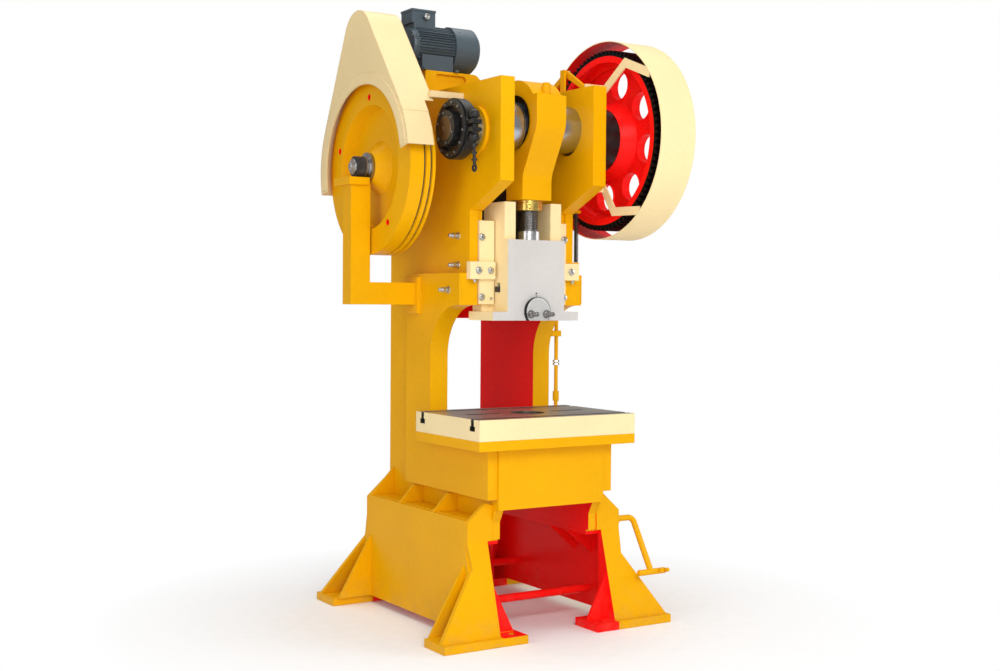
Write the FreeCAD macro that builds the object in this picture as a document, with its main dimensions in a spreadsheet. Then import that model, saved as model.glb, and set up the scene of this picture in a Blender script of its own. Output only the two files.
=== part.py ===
import FreeCAD, Part
import math
import os
import Sketcher

# A mechanical stamping press with an open frame.  Millimetres, +X to the viewer's right,
# +Y to the back, +Z up.  Places are worked out from the crank and slide axis (y = 0), and
# every piece is then moved back so that the origin is the middle of the anchor bolts.

SIZES = {
    # drive line
    "crank_z": 1912, "throw": 60, "journal_rad": 60, "web_rad": 93, "web_in": 70, "run_gap": 0.05,
    "part_gap": 0.5, "bush_wall": 10, "brake_rad": 108, "brake_in": 300, "brake_out": 358,
    "collar_rad": 67, "crank_left": 380, "crank_right": 466, "drum_seat_rad": 45, "cap_rad": 82,
    "cap_thick": 16, "sleeve_rad": 126, "gear_in": 345, "gear_wide": 100, "hub_out": 465,
    "modul": 8, "gear_teeth": 88, "pinion_teeth": 18, "hub_rad": 128, "hub_flare": 160,
    "hub_tip_rad": 92, "web_x": 402,
    "web_thick": 30, "rim_deep": 30, "hole_ring": 225, "hole_rad": 54, "hole_count": 8, "hole_turn": 11.25,
    "mesh_turn": 16.755, "layshaft_rad": 32, "backlash": 0.35,
    "wheel_in": 383, "wheel_out": 492, "wheel_rad": 345, "groove_deep": 14, "groove_wide": 11,
    "groove_pitch": 28, "grooves": 2, "recess_rad": 245, "recess_deep": 50, "recess_taper": 14,
    "wheel_hub_rad": 105, "wheel_hub_tip": 60, "key_hole_rad": 13, "key_ring": 276, "key_holes": 5,
    "ring_rad": 58, "ring_thick": 13, "spool_rad": 42, "roller_rad": 41, "roller_wide": 38,
    # frame
    "plate_in": 205, "plate_thick": 36, "doubler": 43, "inner_doubler": 24, "head_top": 2100,
    "head_front": -172, "cheek_low": 1714, "neck_y": 46, "neck_z": 1615, "jaw_y": 61, "jaw_z": 1250,
    "throat_rad": 204, "column_y": 271, "bed_top": 716, "bed_front": -156, "doubler_front": -168,
    "frame_back": 691,
    "frame_low": 372, "toe_z": 487, "toe_y": -129, "toe_low": 437, "head_back_y": 600, "head_back_z": 2000,
    "doubler_top": 1373, "doubler_low": 527, "doubler_back": 473, "boss_rad": 92, "boss_proud": 15,
    "wall_thick": 20, "back_low": 1190, "back_high": 780, "head_skin_y": 330,
    # table
    "table_half": 355, "table_front": -224, "table_back": 256, "flange_thick": 37, "bolster_thick": 79,
    "table_hole_rad": 67, "slot_y": 188, "slot_wide": 22, "slot_foot": 38, "slot_deep": 44,
    "slot_foot_deep": 18,
    "short_slot_len": 150,
    # stand
    "foot_in": 159, "foot_out": 517, "foot_thick": 31, "foot_front": -260, "foot_front_back": -111,
    "foot_rear": 662, "foot_rear_back": 823, "anchor_out": 488, "anchor_in": 200, "anchor_front": -212,
    "anchor_rear": 718, "anchor_hole_rad": 13, "leg_thick": 20, "leg_y": -134, "leg_knee": 370,
    "leg_foot_y": -232, "leg_rear_y": 690, "leg_rear_foot": 800, "shelf_z": 450, "side_x": 350,
    "side_thick": 18, "rib_thick": 12, "tie_rad": 16, "tie_front_y": 39, "tie_front_z": 102,
    "tie_rear_y": 581, "tie_rear_z": 126,
    # slide and rod
    "slide_half": 131, "slide_front": -56, "slide_back": 122, "slide_low": 1192, "flange_z": 1226,
    "flange_half": 197, "face_top": 1503, "horn_in": 81, "horn_front": -30, "horn_top": 1648,
    "guide_gap": 1.0, "bore_rad": 48, "shank_rad": 25, "shank_deep": 70, "clamp_rad": 56, "clamp_proud": 16,
    "stud_rad": 9, "stud_half": 36, "bar_low": 1301, "bar_tall": 22, "bar_y": 12, "bar_deep": 24,
    "bar_len": 278,
    "bar_travel": 13, "rod_half": 67, "ring_out_rad": 145, "neck_front": -151,
    "neck_top": 2052, "neck_bend_top": 1930, "stem_front": -55, "stem_z": 1750, "bend_rad": 108,
    "rod_low": 1657, "lock_low": 1617, "lock_rad": 53, "screw_rad": 37, "screw_top": 1820, "seat_top": 1537,
    "seat_rad": 44.5, "ball_rad": 34, "ball_z": 1470, "neck_rad": 22,
    # gibs and stops
    "gib_in": 136, "gib_out": 202, "gib_front": 36, "gib_back": 54, "guide_y": 123, "gib_bolt_x": 192,
    "gib_bolt_low": 1281, "gib_bolt_high": 1512, "stop_bolt_x": 216, "bolt_len": 30, "bolt_gap": 0.5,
    "gib_low": 1254, "gib_top": 1576, "stop_inner_x": 162,
    "stop_in": 141, "stop_out": 254, "stop_front": 18, "stop_low": 1350, "stop_top": 1417, "bolt_rad": 8,
    "bolt_head": 12.5, "head_tall": 10,
    # guards
    "guard_rad": 395, "guard_in": 336, "guard_out": 503, "sheet": 3, "bar_wide": 34, "bar_thick": 6,
    "belt_x": 522, "belt_in": 411, "belt_room": 40, "belt_top_room": 56, "cut_lap": 23,
    "guard_front_z": 1850, "guard_back_z": 1699, "guard_low_in": 372, "belt_gap": 0.3,
    # motor
    "motor_y": 455, "motor_z": 2295, "motor_rad": 88, "body_left": 290, "body_right": 108, "cowl_rad": 94,
    "fins": 24, "fin_tall": 10, "pulley_rad": 60, "pulley_in": 385, "pulley_out": 445, "box_up": 147,
    "base_top": 2192, "base_front": 372, "base_back": 545, "base_left": 258, "base_right": 4, "dimple": 12,
    # bracket, pedal, linkage
    "post_out": 582, "post_in": 498, "post_y": 415, "post_deep": 72, "arm_low": 1249, "arm_top": 1337,
    "pad_thick": 14, "pedal_y": -98, "pedal_z": 400, "pedal_rad": 12, "pull_x": 318,
    "pull_y": 268, "pull_rad": 8, "latch_z": 2190, "latch_y": 130,
    "coil_rad": 10, "spring_low": 1425, "spring_top": 1625, "spring_x": 300, "spring_y": 105,
    "lever_x": 300, "lever_wide": 28, "lever_tall": 14, "lever_drop": 6, "latch_toe": 10,
    "pedal_out": 445, "toe_bar_y": -222, "toe_bar_z": 200,
    "toe_left": 382, "toe_right": 515, "clevis_tall": 40, "sleeve_low": 850, "rod_guide_z": 1120,
    "rod_guide_tall": 24, "latch_x": 260, "latch_wide": 12, "latch_tip_y": -7, "latch_tip_z": 2121,
    "latch_rear_z": 2112,
    # smaller stand, brake and motor sizes
    "leg_in": 262, "flare_z": 275, "peak_x": 272, "peak_z": 513, "seat_out": 280, "web_low": 245,
    "web_first": 20, "web_second": 140, "shelf_web_first": 125, "shelf_web_second": 399,
    "shelf_web_third": 649, "tall_web_z": 565, "outer_web_z": 286, "inner_web_z": 210,
    "rim_wall": 22, "face_deep": 14, "thrust_up": 43, "thrust_rad": 104, "thrust_thick": 5,
    "band_half": 20, "band_thick": 6, "ear_len": 40, "ear_tall": 22, "slit": 14, "knob_rad": 14,
    "knob_tall": 24,
    "knob_out": 58, "housing_out": 70, "back_deep": 24, "key_deep": 20, "spool_wide": 15, "nut_thick": 14,
    "cup_y": -112, "cup_rad": 17, "cup_top": 2090, "stem_back": 60, "screw_gap": 0.6, "adjust_up": 24,
    "clamp_z": 1227, "stud_z": 1217, "stud_out": 38, "stud_nut": 16, "stop_screw_x": 228,
    "set_y": 132, "set_low": 1309, "set_mid": 1405, "set_high": 1519, "guard_step_z": 2025,
    "tab_over": 16.74, "tab_deep": 24, "tab_tall": 25, "tab_z": 2040, "base_round": 40, "dip_left": 211,
    "dip_right": 69, "dip_low": 2148, "dip_tall": 32,
    "motor_foot_wide": 34, "motor_foot_y": 62, "motor_shaft_rad": 14, "cowl_right": 0, "fan_back": 28,
    "cowl_lap": 10, "fan_wide": 30, "box_left": 299,
    "box_right": 192, "box_front": 411, "box_deep": 92, "box_tall": 58, "lid_thick": 12, "plug_x": 238,
    "plug_drop": 32, "plug_rad": 14, "cap_thick_z": 30, "cap_front": 369, "cap_back": 510, "pad_front": 359,
    "short_slot_in": 120,
    "housing_wall": 33, "housing_rim": 22, "housing_taper": 4, "retainer_gap": 6.5, "retainer_up": 20,
    "thread_gap": 3, "groove_start": 17, "belt_sunk": 7, "foot_inset": 3, "flare_inset": 7, "peak_drop": 10,
    "outer_inset": 20, "upper_turn": 144, "upper_knee_y": -162, "upper_knee_z": 2203, "upper_foot_y": -29,
    "upper_foot_z": 2112, "lower_turn": 228, "lower_knee_y": -96, "lower_knee_z": 1624, "lower_foot_y": -26,
    "lower_foot_z": 1721, "prong_rad": 8, "prong_long": 34, "prong_step": 30, "prong_edge": 8,
    "prong_tilt": 0.25,
    "latch_half": 14, "tail_half": 9, "toe_deep": 28, "nose_in": 14, "nose_drop": 12,
    "latch_plate_thick": 10,
    "latch_plate_drop": 60, "pin_out": 8, "cap_slope": 5, "cap_past": 12, "pad_drop": 34, "pad_rise": 22,
    "band_cut_deep": 16, "window_more": 24, "tab_lap": 15, "fin_wide": 2.4, "fin_root": 6, "fin_end": 8,
    "foot_end": 20, "box_root": 40, "shield_step": 12, "shield_out": 20, "cowl_chamfer": 14,
    "shaft_past": 4,
    "sleeve_past": 5, "spring_arm_half": 6, "spring_arm_tall": 12, "lug_half": 10, "guide_half": 16,
    "guide_past": 14, "bearing_wall": 16, "bearing_long": 10, "spool_lip": 4, "spool_bend": 2,
    "spool_waist": 6,
    "anchor_half": 6, "shaft_end_in": 20,
    "anchor_thick": 14, "hole_room": 6, "seat_slack": 2,
}


class Size:
    """A length kept both as a number and as the text that binds an object to the sheet."""

    def __init__(self, value, text):
        self.value = value
        self.text = text

    def __add__(self, other):
        return Size(self.value + num(other), f"({self.text} + {text(other)})")

    def __sub__(self, other):
        return Size(self.value - num(other), f"({self.text} - {text(other)})")

    def __mul__(self, other):
        return Size(self.value * num(other), f"({self.text} * {text(other)})")

    def __truediv__(self, other):
        return Size(self.value / num(other), f"({self.text} / {text(other)})")

    def __neg__(self):
        return Size(-self.value, f"(0 - {self.text})")

    def __radd__(self, other):
        return Size(num(other), text(other)) + self

    def __rsub__(self, other):
        return Size(num(other), text(other)) - self

    def __rmul__(self, other):
        return self * other


def num(size):
    return float(getattr(size, "value", size))


def text(size):
    return getattr(size, "text", repr(size))


class Sizes:
    """Each value of the sheet under its own name."""

    def __init__(self, sheet):
        for row, (name, value) in enumerate(SIZES.items(), start=1):
            sheet.set(f"A{row}", name)
            sheet.set(f"B{row}", str(value))
            sheet.setAlias(f"B{row}", name)
            setattr(self, name, Size(float(value), f"sizes.{name}"))


DOC = FreeCAD.newDocument("press")
SHEET = DOC.addObject("Spreadsheet::Sheet", "sizes")
S = Sizes(SHEET)
DOC.recompute()
V = FreeCAD.Vector
PIECES = []
SHIFT = -(S.anchor_front + S.anchor_rear) / 2


def bind(thing, prop, size):
    """Set a property to a size and tie it to the sheet."""
    if isinstance(size, Size):
        thing.setExpression(prop, size.text)
    else:
        thing.setExpression(prop, repr(float(size)))


def finish_piece(thing, label):
    if thing.TypeId in ("Part::Box", "Part::Cylinder", "Part::Prism"):
        thing = group([thing], label)
    thing.Label = label
    bind(thing, "Placement.Base.y", SHIFT)
    PIECES.append(thing)
    return thing


class Ring:
    """A full circle in a sketch."""

    def __init__(self, across, up, radius):
        self.across, self.up, self.radius = across, up, radius


def corner_geometry(corners):
    """Runs and rounded corners of a closed outline, with the places that hold them."""
    points = [V(num(c[0]), num(c[1]), 0) for c in corners]
    count = len(corners)
    ends = []
    for i, corner in enumerate(corners):
        if len(corner) < 3:
            ends.append((points[i], points[i], None))
            continue
        before = (points[i - 1] - points[i]).normalize()
        after = (points[(i + 1) % count] - points[i]).normalize()
        half = before.getAngle(after) / 2
        reach = num(corner[2]) / math.tan(half)
        centre = points[i] + (before + after).normalize() * (num(corner[2]) / math.sin(half))
        ends.append((points[i] + before * reach, points[i] + after * reach, centre))
    return points, ends


def draw_outline(sketch, corners):
    points, ends = corner_geometry(corners)
    count = len(corners)
    places = []
    fixed = sketch.Constraints
    first = len(sketch.Geometry)
    lines = [Part.LineSegment(ends[i][1], ends[(i + 1) % count][0]) for i in range(count)]
    sketch.addGeometry(lines, False)
    rules = []
    for i, corner in enumerate(corners):
        into, out = first + (i - 1) % count, first + i
        if ends[i][2] is None:
            rules.append(Sketcher.Constraint("Coincident", into, 2, out, 1))
            holder = (out, 1)
        else:
            start, stop, centre = ends[i]
            middle = centre + (points[i] - centre).normalize() * num(corner[2])
            arc = Part.ArcOfCircle(start, middle, stop)
            arc_id = sketch.addGeometry(arc, False)
            anticlockwise = (start - centre).cross(stop - centre).z > 0
            head, tail = (1, 2) if anticlockwise else (2, 1)
            point_id = sketch.addGeometry(Part.Point(points[i]), True)
            rules.append(Sketcher.Constraint("Tangent", into, 2, arc_id, head))
            rules.append(Sketcher.Constraint("Tangent", arc_id, tail, out, 1))
            rules.append(Sketcher.Constraint("PointOnObject", point_id, 1, into))
            rules.append(Sketcher.Constraint("PointOnObject", point_id, 1, out))
            places.append((len(fixed) + len(rules), corner[2]))
            rules.append(Sketcher.Constraint("Radius", arc_id, num(corner[2])))
            holder = (point_id, 1)
        for kind, place in (("DistanceX", corner[0]), ("DistanceY", corner[1])):
            places.append((len(fixed) + len(rules), place))
            rules.append(Sketcher.Constraint(kind, holder[0], holder[1], num(place)))
    sketch.addConstraint(rules)
    return places


def draw_ring(sketch, ring):
    fixed = len(sketch.Constraints)
    circle = Part.Circle(V(num(ring.across), num(ring.up), 0), V(0, 0, 1), num(ring.radius))
    ring_id = sketch.addGeometry(circle, False)
    rules = [Sketcher.Constraint("DistanceX", ring_id, 3, num(ring.across)),
             Sketcher.Constraint("DistanceY", ring_id, 3, num(ring.up)),
             Sketcher.Constraint("Radius", ring_id, num(ring.radius))]
    sketch.addConstraint(rules)
    return [(fixed, ring.across), (fixed + 1, ring.up), (fixed + 2, ring.radius)]


def make_sketch(body, plane, offset, loops):
    """A sketch on one of the body's own planes, every place and radius tied to the sheet."""
    sketch = body.newObject("Sketcher::SketchObject", body.Name + "_outline")
    origin_plane = [f for f in body.Origin.OriginFeatures if f.Role == plane + "_Plane"][0]
    sketch.AttachmentSupport = (origin_plane, [""])
    sketch.MapMode = "FlatFace"
    for letter, place in zip("xyz", offset):
        bind(sketch, "AttachmentOffset.Base." + letter, place)
    for loop in loops:
        places = draw_ring(sketch, loop) if isinstance(loop, Ring) else draw_outline(sketch, loop)
        for index, place in places:
            if isinstance(place, Size):
                sketch.setExpression(f"Constraints[{index}]", place.text)
    return sketch


class Piece:
    """One solid piece made of pads and pockets.  The outline is given in the plane's own
    right-hand pair: YZ as (y, z), XZ as (x, z), XY as (x, y)."""

    def __init__(self, label, alone=True):
        self.body = DOC.addObject("PartDesign::Body", label)
        if alone:
            finish_piece(self.body, label)

    def feature(self, kind, plane, loops, start, length):
        level = -(start + length) if plane == "XZ" else start
        sketch = make_sketch(self.body, plane, (0, 0, level), loops)
        feature = self.body.newObject("PartDesign::" + kind, self.body.Name + "_" + kind.lower())
        feature.Profile = sketch
        bind(feature, "Length", length)
        return feature

    def pad(self, plane, loops, start, length):
        self.feature("Pad", plane, loops, start, length)
        return self

    def cut(self, plane, loops, start, length):
        feature = self.feature("Pocket", plane, loops, start, length)
        feature.Reversed = True
        return self

    def turn(self, axis, place, outline, kind="Revolution"):
        """A full turn about a line along X, Y or Z through place.  The outline is given as
        (along, radius) about X and as (radius, along) about Y and Z."""
        x, y, z = place
        plane = "XY" if axis == "Y" else "XZ"
        offset = {"X": (0, z, -y), "Y": (x, 0, z), "Z": (x, 0, -y)}[axis]
        sketch = make_sketch(self.body, plane, offset, outline)
        feature = self.body.newObject("PartDesign::" + kind, self.body.Name + "_turn")
        feature.Profile = sketch
        feature.ReferenceAxis = (sketch, ["H_Axis" if axis == "X" else "V_Axis"])
        feature.Angle = 360
        return self


def box_loop(x0, y0, x1, y1):
    return [(x0, y0), (x1, y0), (x1, y1), (x0, y1)]


TURNS = {"X": (0, 90), "Y": (1, -90), "Z": (1, 0)}


def set_place(thing, at, axis):
    """Stand a primitive at a point with its length along the axis."""
    turn, angle = TURNS[axis]
    thing.Placement.Rotation.Axis = V(0, 1, 0) if turn == 0 else V(1, 0, 0)
    bind(thing, "Placement.Rotation.Angle", angle)
    for letter, place in zip("xyz", at):
        bind(thing, "Placement.Base." + letter, place)


def round_bar(at, axis, radius, length):
    bar = DOC.addObject("Part::Cylinder", "round_bar")
    bind(bar, "Radius", radius)
    bind(bar, "Height", length)
    set_place(bar, at, axis)
    return bar


def hexagon(at, axis, radius, length):
    nut = DOC.addObject("Part::Prism", "hexagon")
    nut.Polygon = 6
    bind(nut, "Circumradius", radius)
    bind(nut, "Height", length)
    set_place(nut, at, axis)
    return nut


def block(x0, y0, z0, x1, y1, z1):
    box = DOC.addObject("Part::Box", "block")
    for prop, size in (("Length", x1 - x0), ("Width", y1 - y0), ("Height", z1 - z0)):
        bind(box, prop, size)
    set_place(box, (x0, y0, z0), "Z")
    return box


def fused(parts, label="joined"):
    whole = DOC.addObject("Part::MultiFuse", label)
    whole.Shapes = parts
    return whole


def less(base, tools, label="cut"):
    whole = DOC.addObject("Part::Cut", label)
    whole.Base = base
    whole.Tool = tools[0] if len(tools) == 1 else fused(tools)
    return whole


def group(parts, label):
    """Like pieces that share one node, each a solid of its own."""
    whole = DOC.addObject("Part::Compound", label)
    whole.Links = parts
    return whole


def formed(shape, label):
    """A piece whose form is worked out from the sheet's numbers."""
    thing = DOC.addObject("Part::Feature", label)
    thing.Shape = Part.makeCompound(shape.Solids)
    return finish_piece(thing, label)


def span(side, inner, outer):
    """Start and length of a piece between two distances from the middle, on one side."""
    return (inner, outer - inner) if side > 0 else (-outer, outer - inner)


SIDES = ((-1, "left"), (1, "right"))
plate_out = S.plate_in + S.plate_thick
doubler_out = plate_out + S.doubler
bore_rad = S.journal_rad + S.bush_wall + S.run_gap
gear_centre = S.modul * (S.gear_teeth + S.pinion_teeth) / 2
gear_pitch = S.modul * S.gear_teeth / 2
pinion_pitch = S.modul * S.pinion_teeth / 2
mesh_angle = math.radians(num(S.mesh_turn))
layshaft_y = gear_centre * Size(math.cos(mesh_angle), f"cos({S.mesh_turn.text})")
layshaft_z = S.crank_z - gear_centre * Size(math.sin(mesh_angle), f"sin({S.mesh_turn.text})")
housing_rad = S.layshaft_rad + S.housing_wall
bolster_top = S.bed_top + S.flange_thick + S.bolster_thick
box_top = S.motor_z + S.box_up
box_low = box_top - S.box_tall
flange_top = S.bed_top + S.flange_thick
rail_in = S.plate_in - S.inner_doubler
stop_mid = (S.stop_low + S.stop_top) / 2
GIB_BOLTS = (S.gib_bolt_low, S.gib_bolt_high)
wing_half = rail_in - S.guide_gap
wall_in = S.side_x - S.side_thick
back_in = S.frame_back - S.wall_thick


def side_frame(side, name):
    frame = Piece(name + "_side_frame")
    outline = [(S.head_front, S.head_top), (S.head_front, S.cheek_low), (S.neck_y, S.neck_z),
               (S.neck_y, S.jaw_z), (S.jaw_y, S.jaw_z), (S.column_y, S.jaw_z, S.throat_rad),
               (S.column_y, S.bed_top), (S.bed_front, S.bed_top), (S.bed_front, S.toe_z),
               (S.toe_y, S.toe_low), (S.toe_y, S.frame_low), (S.frame_back, S.frame_low),
               (S.frame_back, S.head_back_z), (S.head_back_y, S.head_top)]
    holes = [Ring(0, S.crank_z, bore_rad), Ring(layshaft_y, layshaft_z, housing_rad)]
    frame.pad("YZ", [outline] + holes, *span(side, S.plate_in, plate_out))
    doubler = [(S.neck_y, S.doubler_top), (S.neck_y, S.jaw_z), (S.jaw_y, S.jaw_z),
               (S.column_y, S.jaw_z, S.throat_rad), (S.column_y, S.bed_top),
               (S.doubler_front, S.bed_top), (S.doubler_front, S.doubler_low),
               (S.doubler_back, S.doubler_low), (S.doubler_back, S.doubler_top)]
    frame.pad("YZ", [doubler], *span(side, plate_out, doubler_out))
    inner = [(S.head_front, S.head_top), (S.head_front, S.cheek_low), (S.neck_y, S.neck_z),
             (S.head_skin_y - S.part_gap, S.neck_z), (S.head_skin_y - S.part_gap, S.head_top)]
    frame.pad("YZ", [inner, Ring(0, S.crank_z, bore_rad)], *span(side, rail_in, S.plate_in))
    boss = [Ring(0, S.crank_z, S.boss_rad), Ring(0, S.crank_z, bore_rad)]
    frame.pad("YZ", boss, *span(side, plate_out, plate_out + S.boss_proud))
    rail = [(S.gib_back, S.jaw_z), (S.guide_y, S.jaw_z), (S.guide_y, S.neck_z), (S.gib_back, S.neck_z)]
    frame.pad("YZ", [rail], *span(side, rail_in, S.plate_in))
    seats = [Ring(side * S.gib_bolt_x, z, S.bolt_rad + S.bolt_gap) for z in GIB_BOLTS]
    frame.cut("XZ", seats, S.gib_back, S.bolt_len)
    stops = [Ring(side * S.stop_bolt_x, stop_mid, S.bolt_rad + S.bolt_gap)]
    frame.cut("XZ", stops, S.neck_y, S.bolt_len)
    return frame


for side, name in SIDES:
    side_frame(side, name)

# ---- welded cross members between the side frames ------------------------------------

def cross_plate(half, y0, y1, z0, z1):
    return block(-half, y0, z0, half, y1, z1)


front_panel = cross_plate(plate_out, S.bed_front - S.wall_thick, S.bed_front, S.toe_z, S.bed_top)
rear_panel = cross_plate(S.plate_in, S.doubler_back - S.wall_thick, S.doubler_back, S.toe_z, S.bed_top)
finish_piece(group([front_panel, rear_panel], "bed_panels"), "bed_panels")
back_plates = [cross_plate(S.plate_in, back_in, S.frame_back, S.frame_low, S.back_high),
               cross_plate(S.plate_in, back_in, S.frame_back, S.back_low, S.head_back_z)]
finish_piece(group(back_plates, "back_plates"), "back_plates")
guide_plate = cross_plate(S.plate_in, S.guide_y, S.guide_y + S.wall_thick, S.jaw_z, S.neck_z)
head_plates = [cross_plate(S.plate_in, S.head_skin_y, S.head_skin_y + S.wall_thick, S.jaw_z, S.head_top),
               cross_plate(S.plate_in, S.head_skin_y, S.head_back_y, S.head_top - S.wall_thick, S.head_top)]
finish_piece(group([guide_plate, fused(head_plates)], "head_plates"), "head_plates")


def table():
    centre_y = (S.table_front + S.table_back) / 2
    edge = box_loop(-S.table_half, S.table_front, S.table_half, S.table_back)
    hole = Ring(0, 0, S.table_hole_rad)
    Piece("table_flange_plate").pad("XY", [edge, hole], S.bed_top, S.flange_thick)
    bolster = Piece("bolster_plate").pad("XY", [edge, hole], flange_top, S.bolster_thick)
    waist = bolster_top - S.slot_deep + S.slot_foot_deep
    foot = bolster_top - S.slot_deep
    above = bolster_top + S.part_gap
    neck, wide = S.slot_wide / 2, S.slot_foot / 2
    slots = []
    for side in (-1, 1):
        middle = centre_y + side * S.slot_y
        slots.append([(middle - neck, above), (middle - neck, waist), (middle - wide, waist),
                      (middle - wide, foot), (middle + wide, foot), (middle + wide, waist),
                      (middle + neck, waist), (middle + neck, above)])
    bolster.cut("YZ", slots, -S.table_half, 2 * S.table_half)
    short = []
    for side in (-1, 1):
        start, length = span(side, S.short_slot_in, S.short_slot_in + S.short_slot_len)
        short.append(box_loop(start, centre_y - neck, start + length, centre_y + neck))
    bolster.cut("XY", short, waist, bolster_top - waist)


table()


# ---- welded stands: front and rear legs, outer wall, shelf, feet and ribs ------------------

def prism(plane, points, start, length):
    """A straight-sided block: its outline in a plane, its thickness along the third axis."""
    lift = {"XZ": lambda a, b: V(a, start, b), "YZ": lambda a, b: V(start, a, b)}
    way = {"XZ": V(0, length, 0), "YZ": V(length, 0, 0)}
    corners = [lift[plane](num(a), num(b)) for a, b in points]
    return Part.Face(Part.makePolygon(corners + corners[:1])).extrude(way[plane])


def right_stand():
    n = {name: num(getattr(S, name)) for name in SIZES}
    low, knee, thick = n["foot_thick"], n["leg_knee"], n["leg_thick"]
    wall, out, inner = num(wall_in), n["side_x"], num(plate_out)
    front, rear = n["leg_y"], n["leg_rear_y"]
    front_foot, rear_foot = n["leg_foot_y"], n["leg_rear_foot"]
    flare = [(n["foot_out"] - n["foot_inset"], low), (out - n["flare_inset"], n["flare_z"]), (out, knee),
             (n["leg_in"], knee), (n["leg_in"], low)]
    lean_front = [(front, knee), (front_foot, low), (front_foot + thick, low), (front + thick, knee)]
    lean_rear = [(rear, knee), (rear_foot, low), (rear_foot - thick, low), (rear - thick, knee)]
    upper = [(inner, knee), (inner, n["peak_z"] - n["peak_drop"]), (n["peak_x"], n["peak_z"]),
             (out, n["shelf_z"] - n["flare_inset"]), (out, knee)]
    reach = n["foot_rear_back"] - n["foot_front"]
    leg = prism("XZ", flare, n["foot_front"], reach)
    parts = [leg.common(prism("YZ", lean_front, n["foot_in"], reach)),
             leg.common(prism("YZ", lean_rear, n["foot_in"], reach)),
             prism("XZ", upper, front, thick), prism("XZ", upper, rear - thick, thick)]
    side = [(front + thick, n["shelf_z"]), (front + thick, knee), (front_foot + thick, low),
            (rear_foot - thick, low), (rear - thick, knee), (rear - thick, n["shelf_z"])]
    parts.append(prism("YZ", side, wall, out - wall))
    parts.append(Part.makeBox(wall - inner, rear - front - 2 * thick, thick,
                              V(inner, front + thick, n["shelf_z"] - thick)))
    parts.append(Part.makeBox(n["seat_out"] - n["plate_in"], rear - front - 2 * thick, thick,
                              V(n["plate_in"], front + thick, n["frame_low"] - thick)))
    seat_web = [(n["seat_out"], n["frame_low"] - thick), (wall, n["frame_low"] - thick), (wall, n["web_low"])]
    web_top = n["peak_z"] + n["flare_inset"]
    shelf_web = [(inner, n["shelf_z"]), (out, n["shelf_z"]), (num(doubler_out), web_top), (inner, web_top)]
    tall_web = [(inner, n["shelf_z"]), (out, n["shelf_z"]), (inner, n["tall_web_z"])]
    rib = n["rib_thick"]
    for y in (n["web_first"], n["web_second"]):
        parts.append(prism("XZ", [(n["plate_in"], n["frame_low"] - thick)] + seat_web[1:], y, rib))
    for y in (n["shelf_web_first"], n["shelf_web_second"]):
        parts.append(prism("XZ", shelf_web, y, rib))
    parts.append(prism("XZ", tall_web, n["shelf_web_third"], rib))
    outer_web = [(out, low), (n["foot_out"] - n["outer_inset"], low), (out, n["outer_web_z"])]
    for y in (front + thick, n["shelf_web_third"]):
        parts.append(prism("XZ", outer_web, y, rib))
    front_cheek = [(front, knee), (front_foot, low), (n["foot_front_back"] - rib, low), (front + thick, knee)]
    rear_cheek = [(rear, knee), (rear_foot, low), (n["foot_rear"] + rib, low), (rear - thick, knee)]
    for cheek in (front_cheek, rear_cheek):
        parts.append(prism("YZ", cheek, n["leg_in"], rib))
    inner_web = [(n["leg_in"], low), (n["foot_in"] + rib, low), (n["leg_in"], n["inner_web_z"])]
    for y in ((front_foot + n["foot_front_back"]) / 2, (rear_foot + n["foot_rear"]) / 2):
        parts.append(prism("XZ", inner_web, y - rib / 2, rib))
    for y0, y1, hole_y in ((n["foot_front"], n["foot_front_back"], n["anchor_front"]),
                           (n["foot_rear"], n["foot_rear_back"], n["anchor_rear"])):
        foot = Part.makeBox(n["foot_out"] - n["foot_in"], y1 - y0, low, V(n["foot_in"], y0, 0))
        for x in (n["anchor_in"], n["anchor_out"]):
            foot = foot.cut(Part.makeCylinder(n["anchor_hole_rad"], low, V(x, hole_y, 0)))
        parts.append(foot)
    stand = parts[0].fuse(parts[1:]).removeSplitter()
    hole = Part.makeCylinder(n["pedal_rad"] + n["hole_room"], 3 * (out - wall),
                             V(2 * wall - out, n["pedal_y"], n["pedal_z"]), V(1, 0, 0))
    rod_hole = Part.makeCylinder(n["pull_rad"] + n["hole_room"], 3 * thick,
                                 V(n["pull_x"], n["pull_y"], n["shelf_z"] - 2 * thick))
    return stand, stand.cut(hole).cut(rod_hole)


plain_stand, pedal_stand = right_stand()
formed(plain_stand.mirror(V(0, 0, 0), V(1, 0, 0)), "left_stand")
formed(pedal_stand, "right_stand")
tie_places = ((S.tie_front_y, S.tie_front_z), (S.tie_rear_y, S.tie_rear_z))
tie_bars = [round_bar((-wall_in, y, z), "X", S.tie_rad, 2 * wall_in) for y, z in tie_places]
finish_piece(group(tie_bars, "tie_bars"), "tie_bars")


# ---- crankshaft with its bushes, brake and clutch sleeve -------------------------------

def turned(label, place, outline, axis="X", alone=True):
    piece = Piece(label, alone)
    piece.turn(axis, place, outline)
    return piece


def tube_loop(x0, x1, inner, outer):
    return [(x0, inner), (x0, outer), (x1, outer), (x1, inner)]


def tube_bar(start, length, line, inner, outer):
    """A plain bush along X."""
    return less(round_bar((start, line[1], line[2]), "X", outer, length),
                [round_bar((start, line[1], line[2]), "X", inner, length)])


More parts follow.
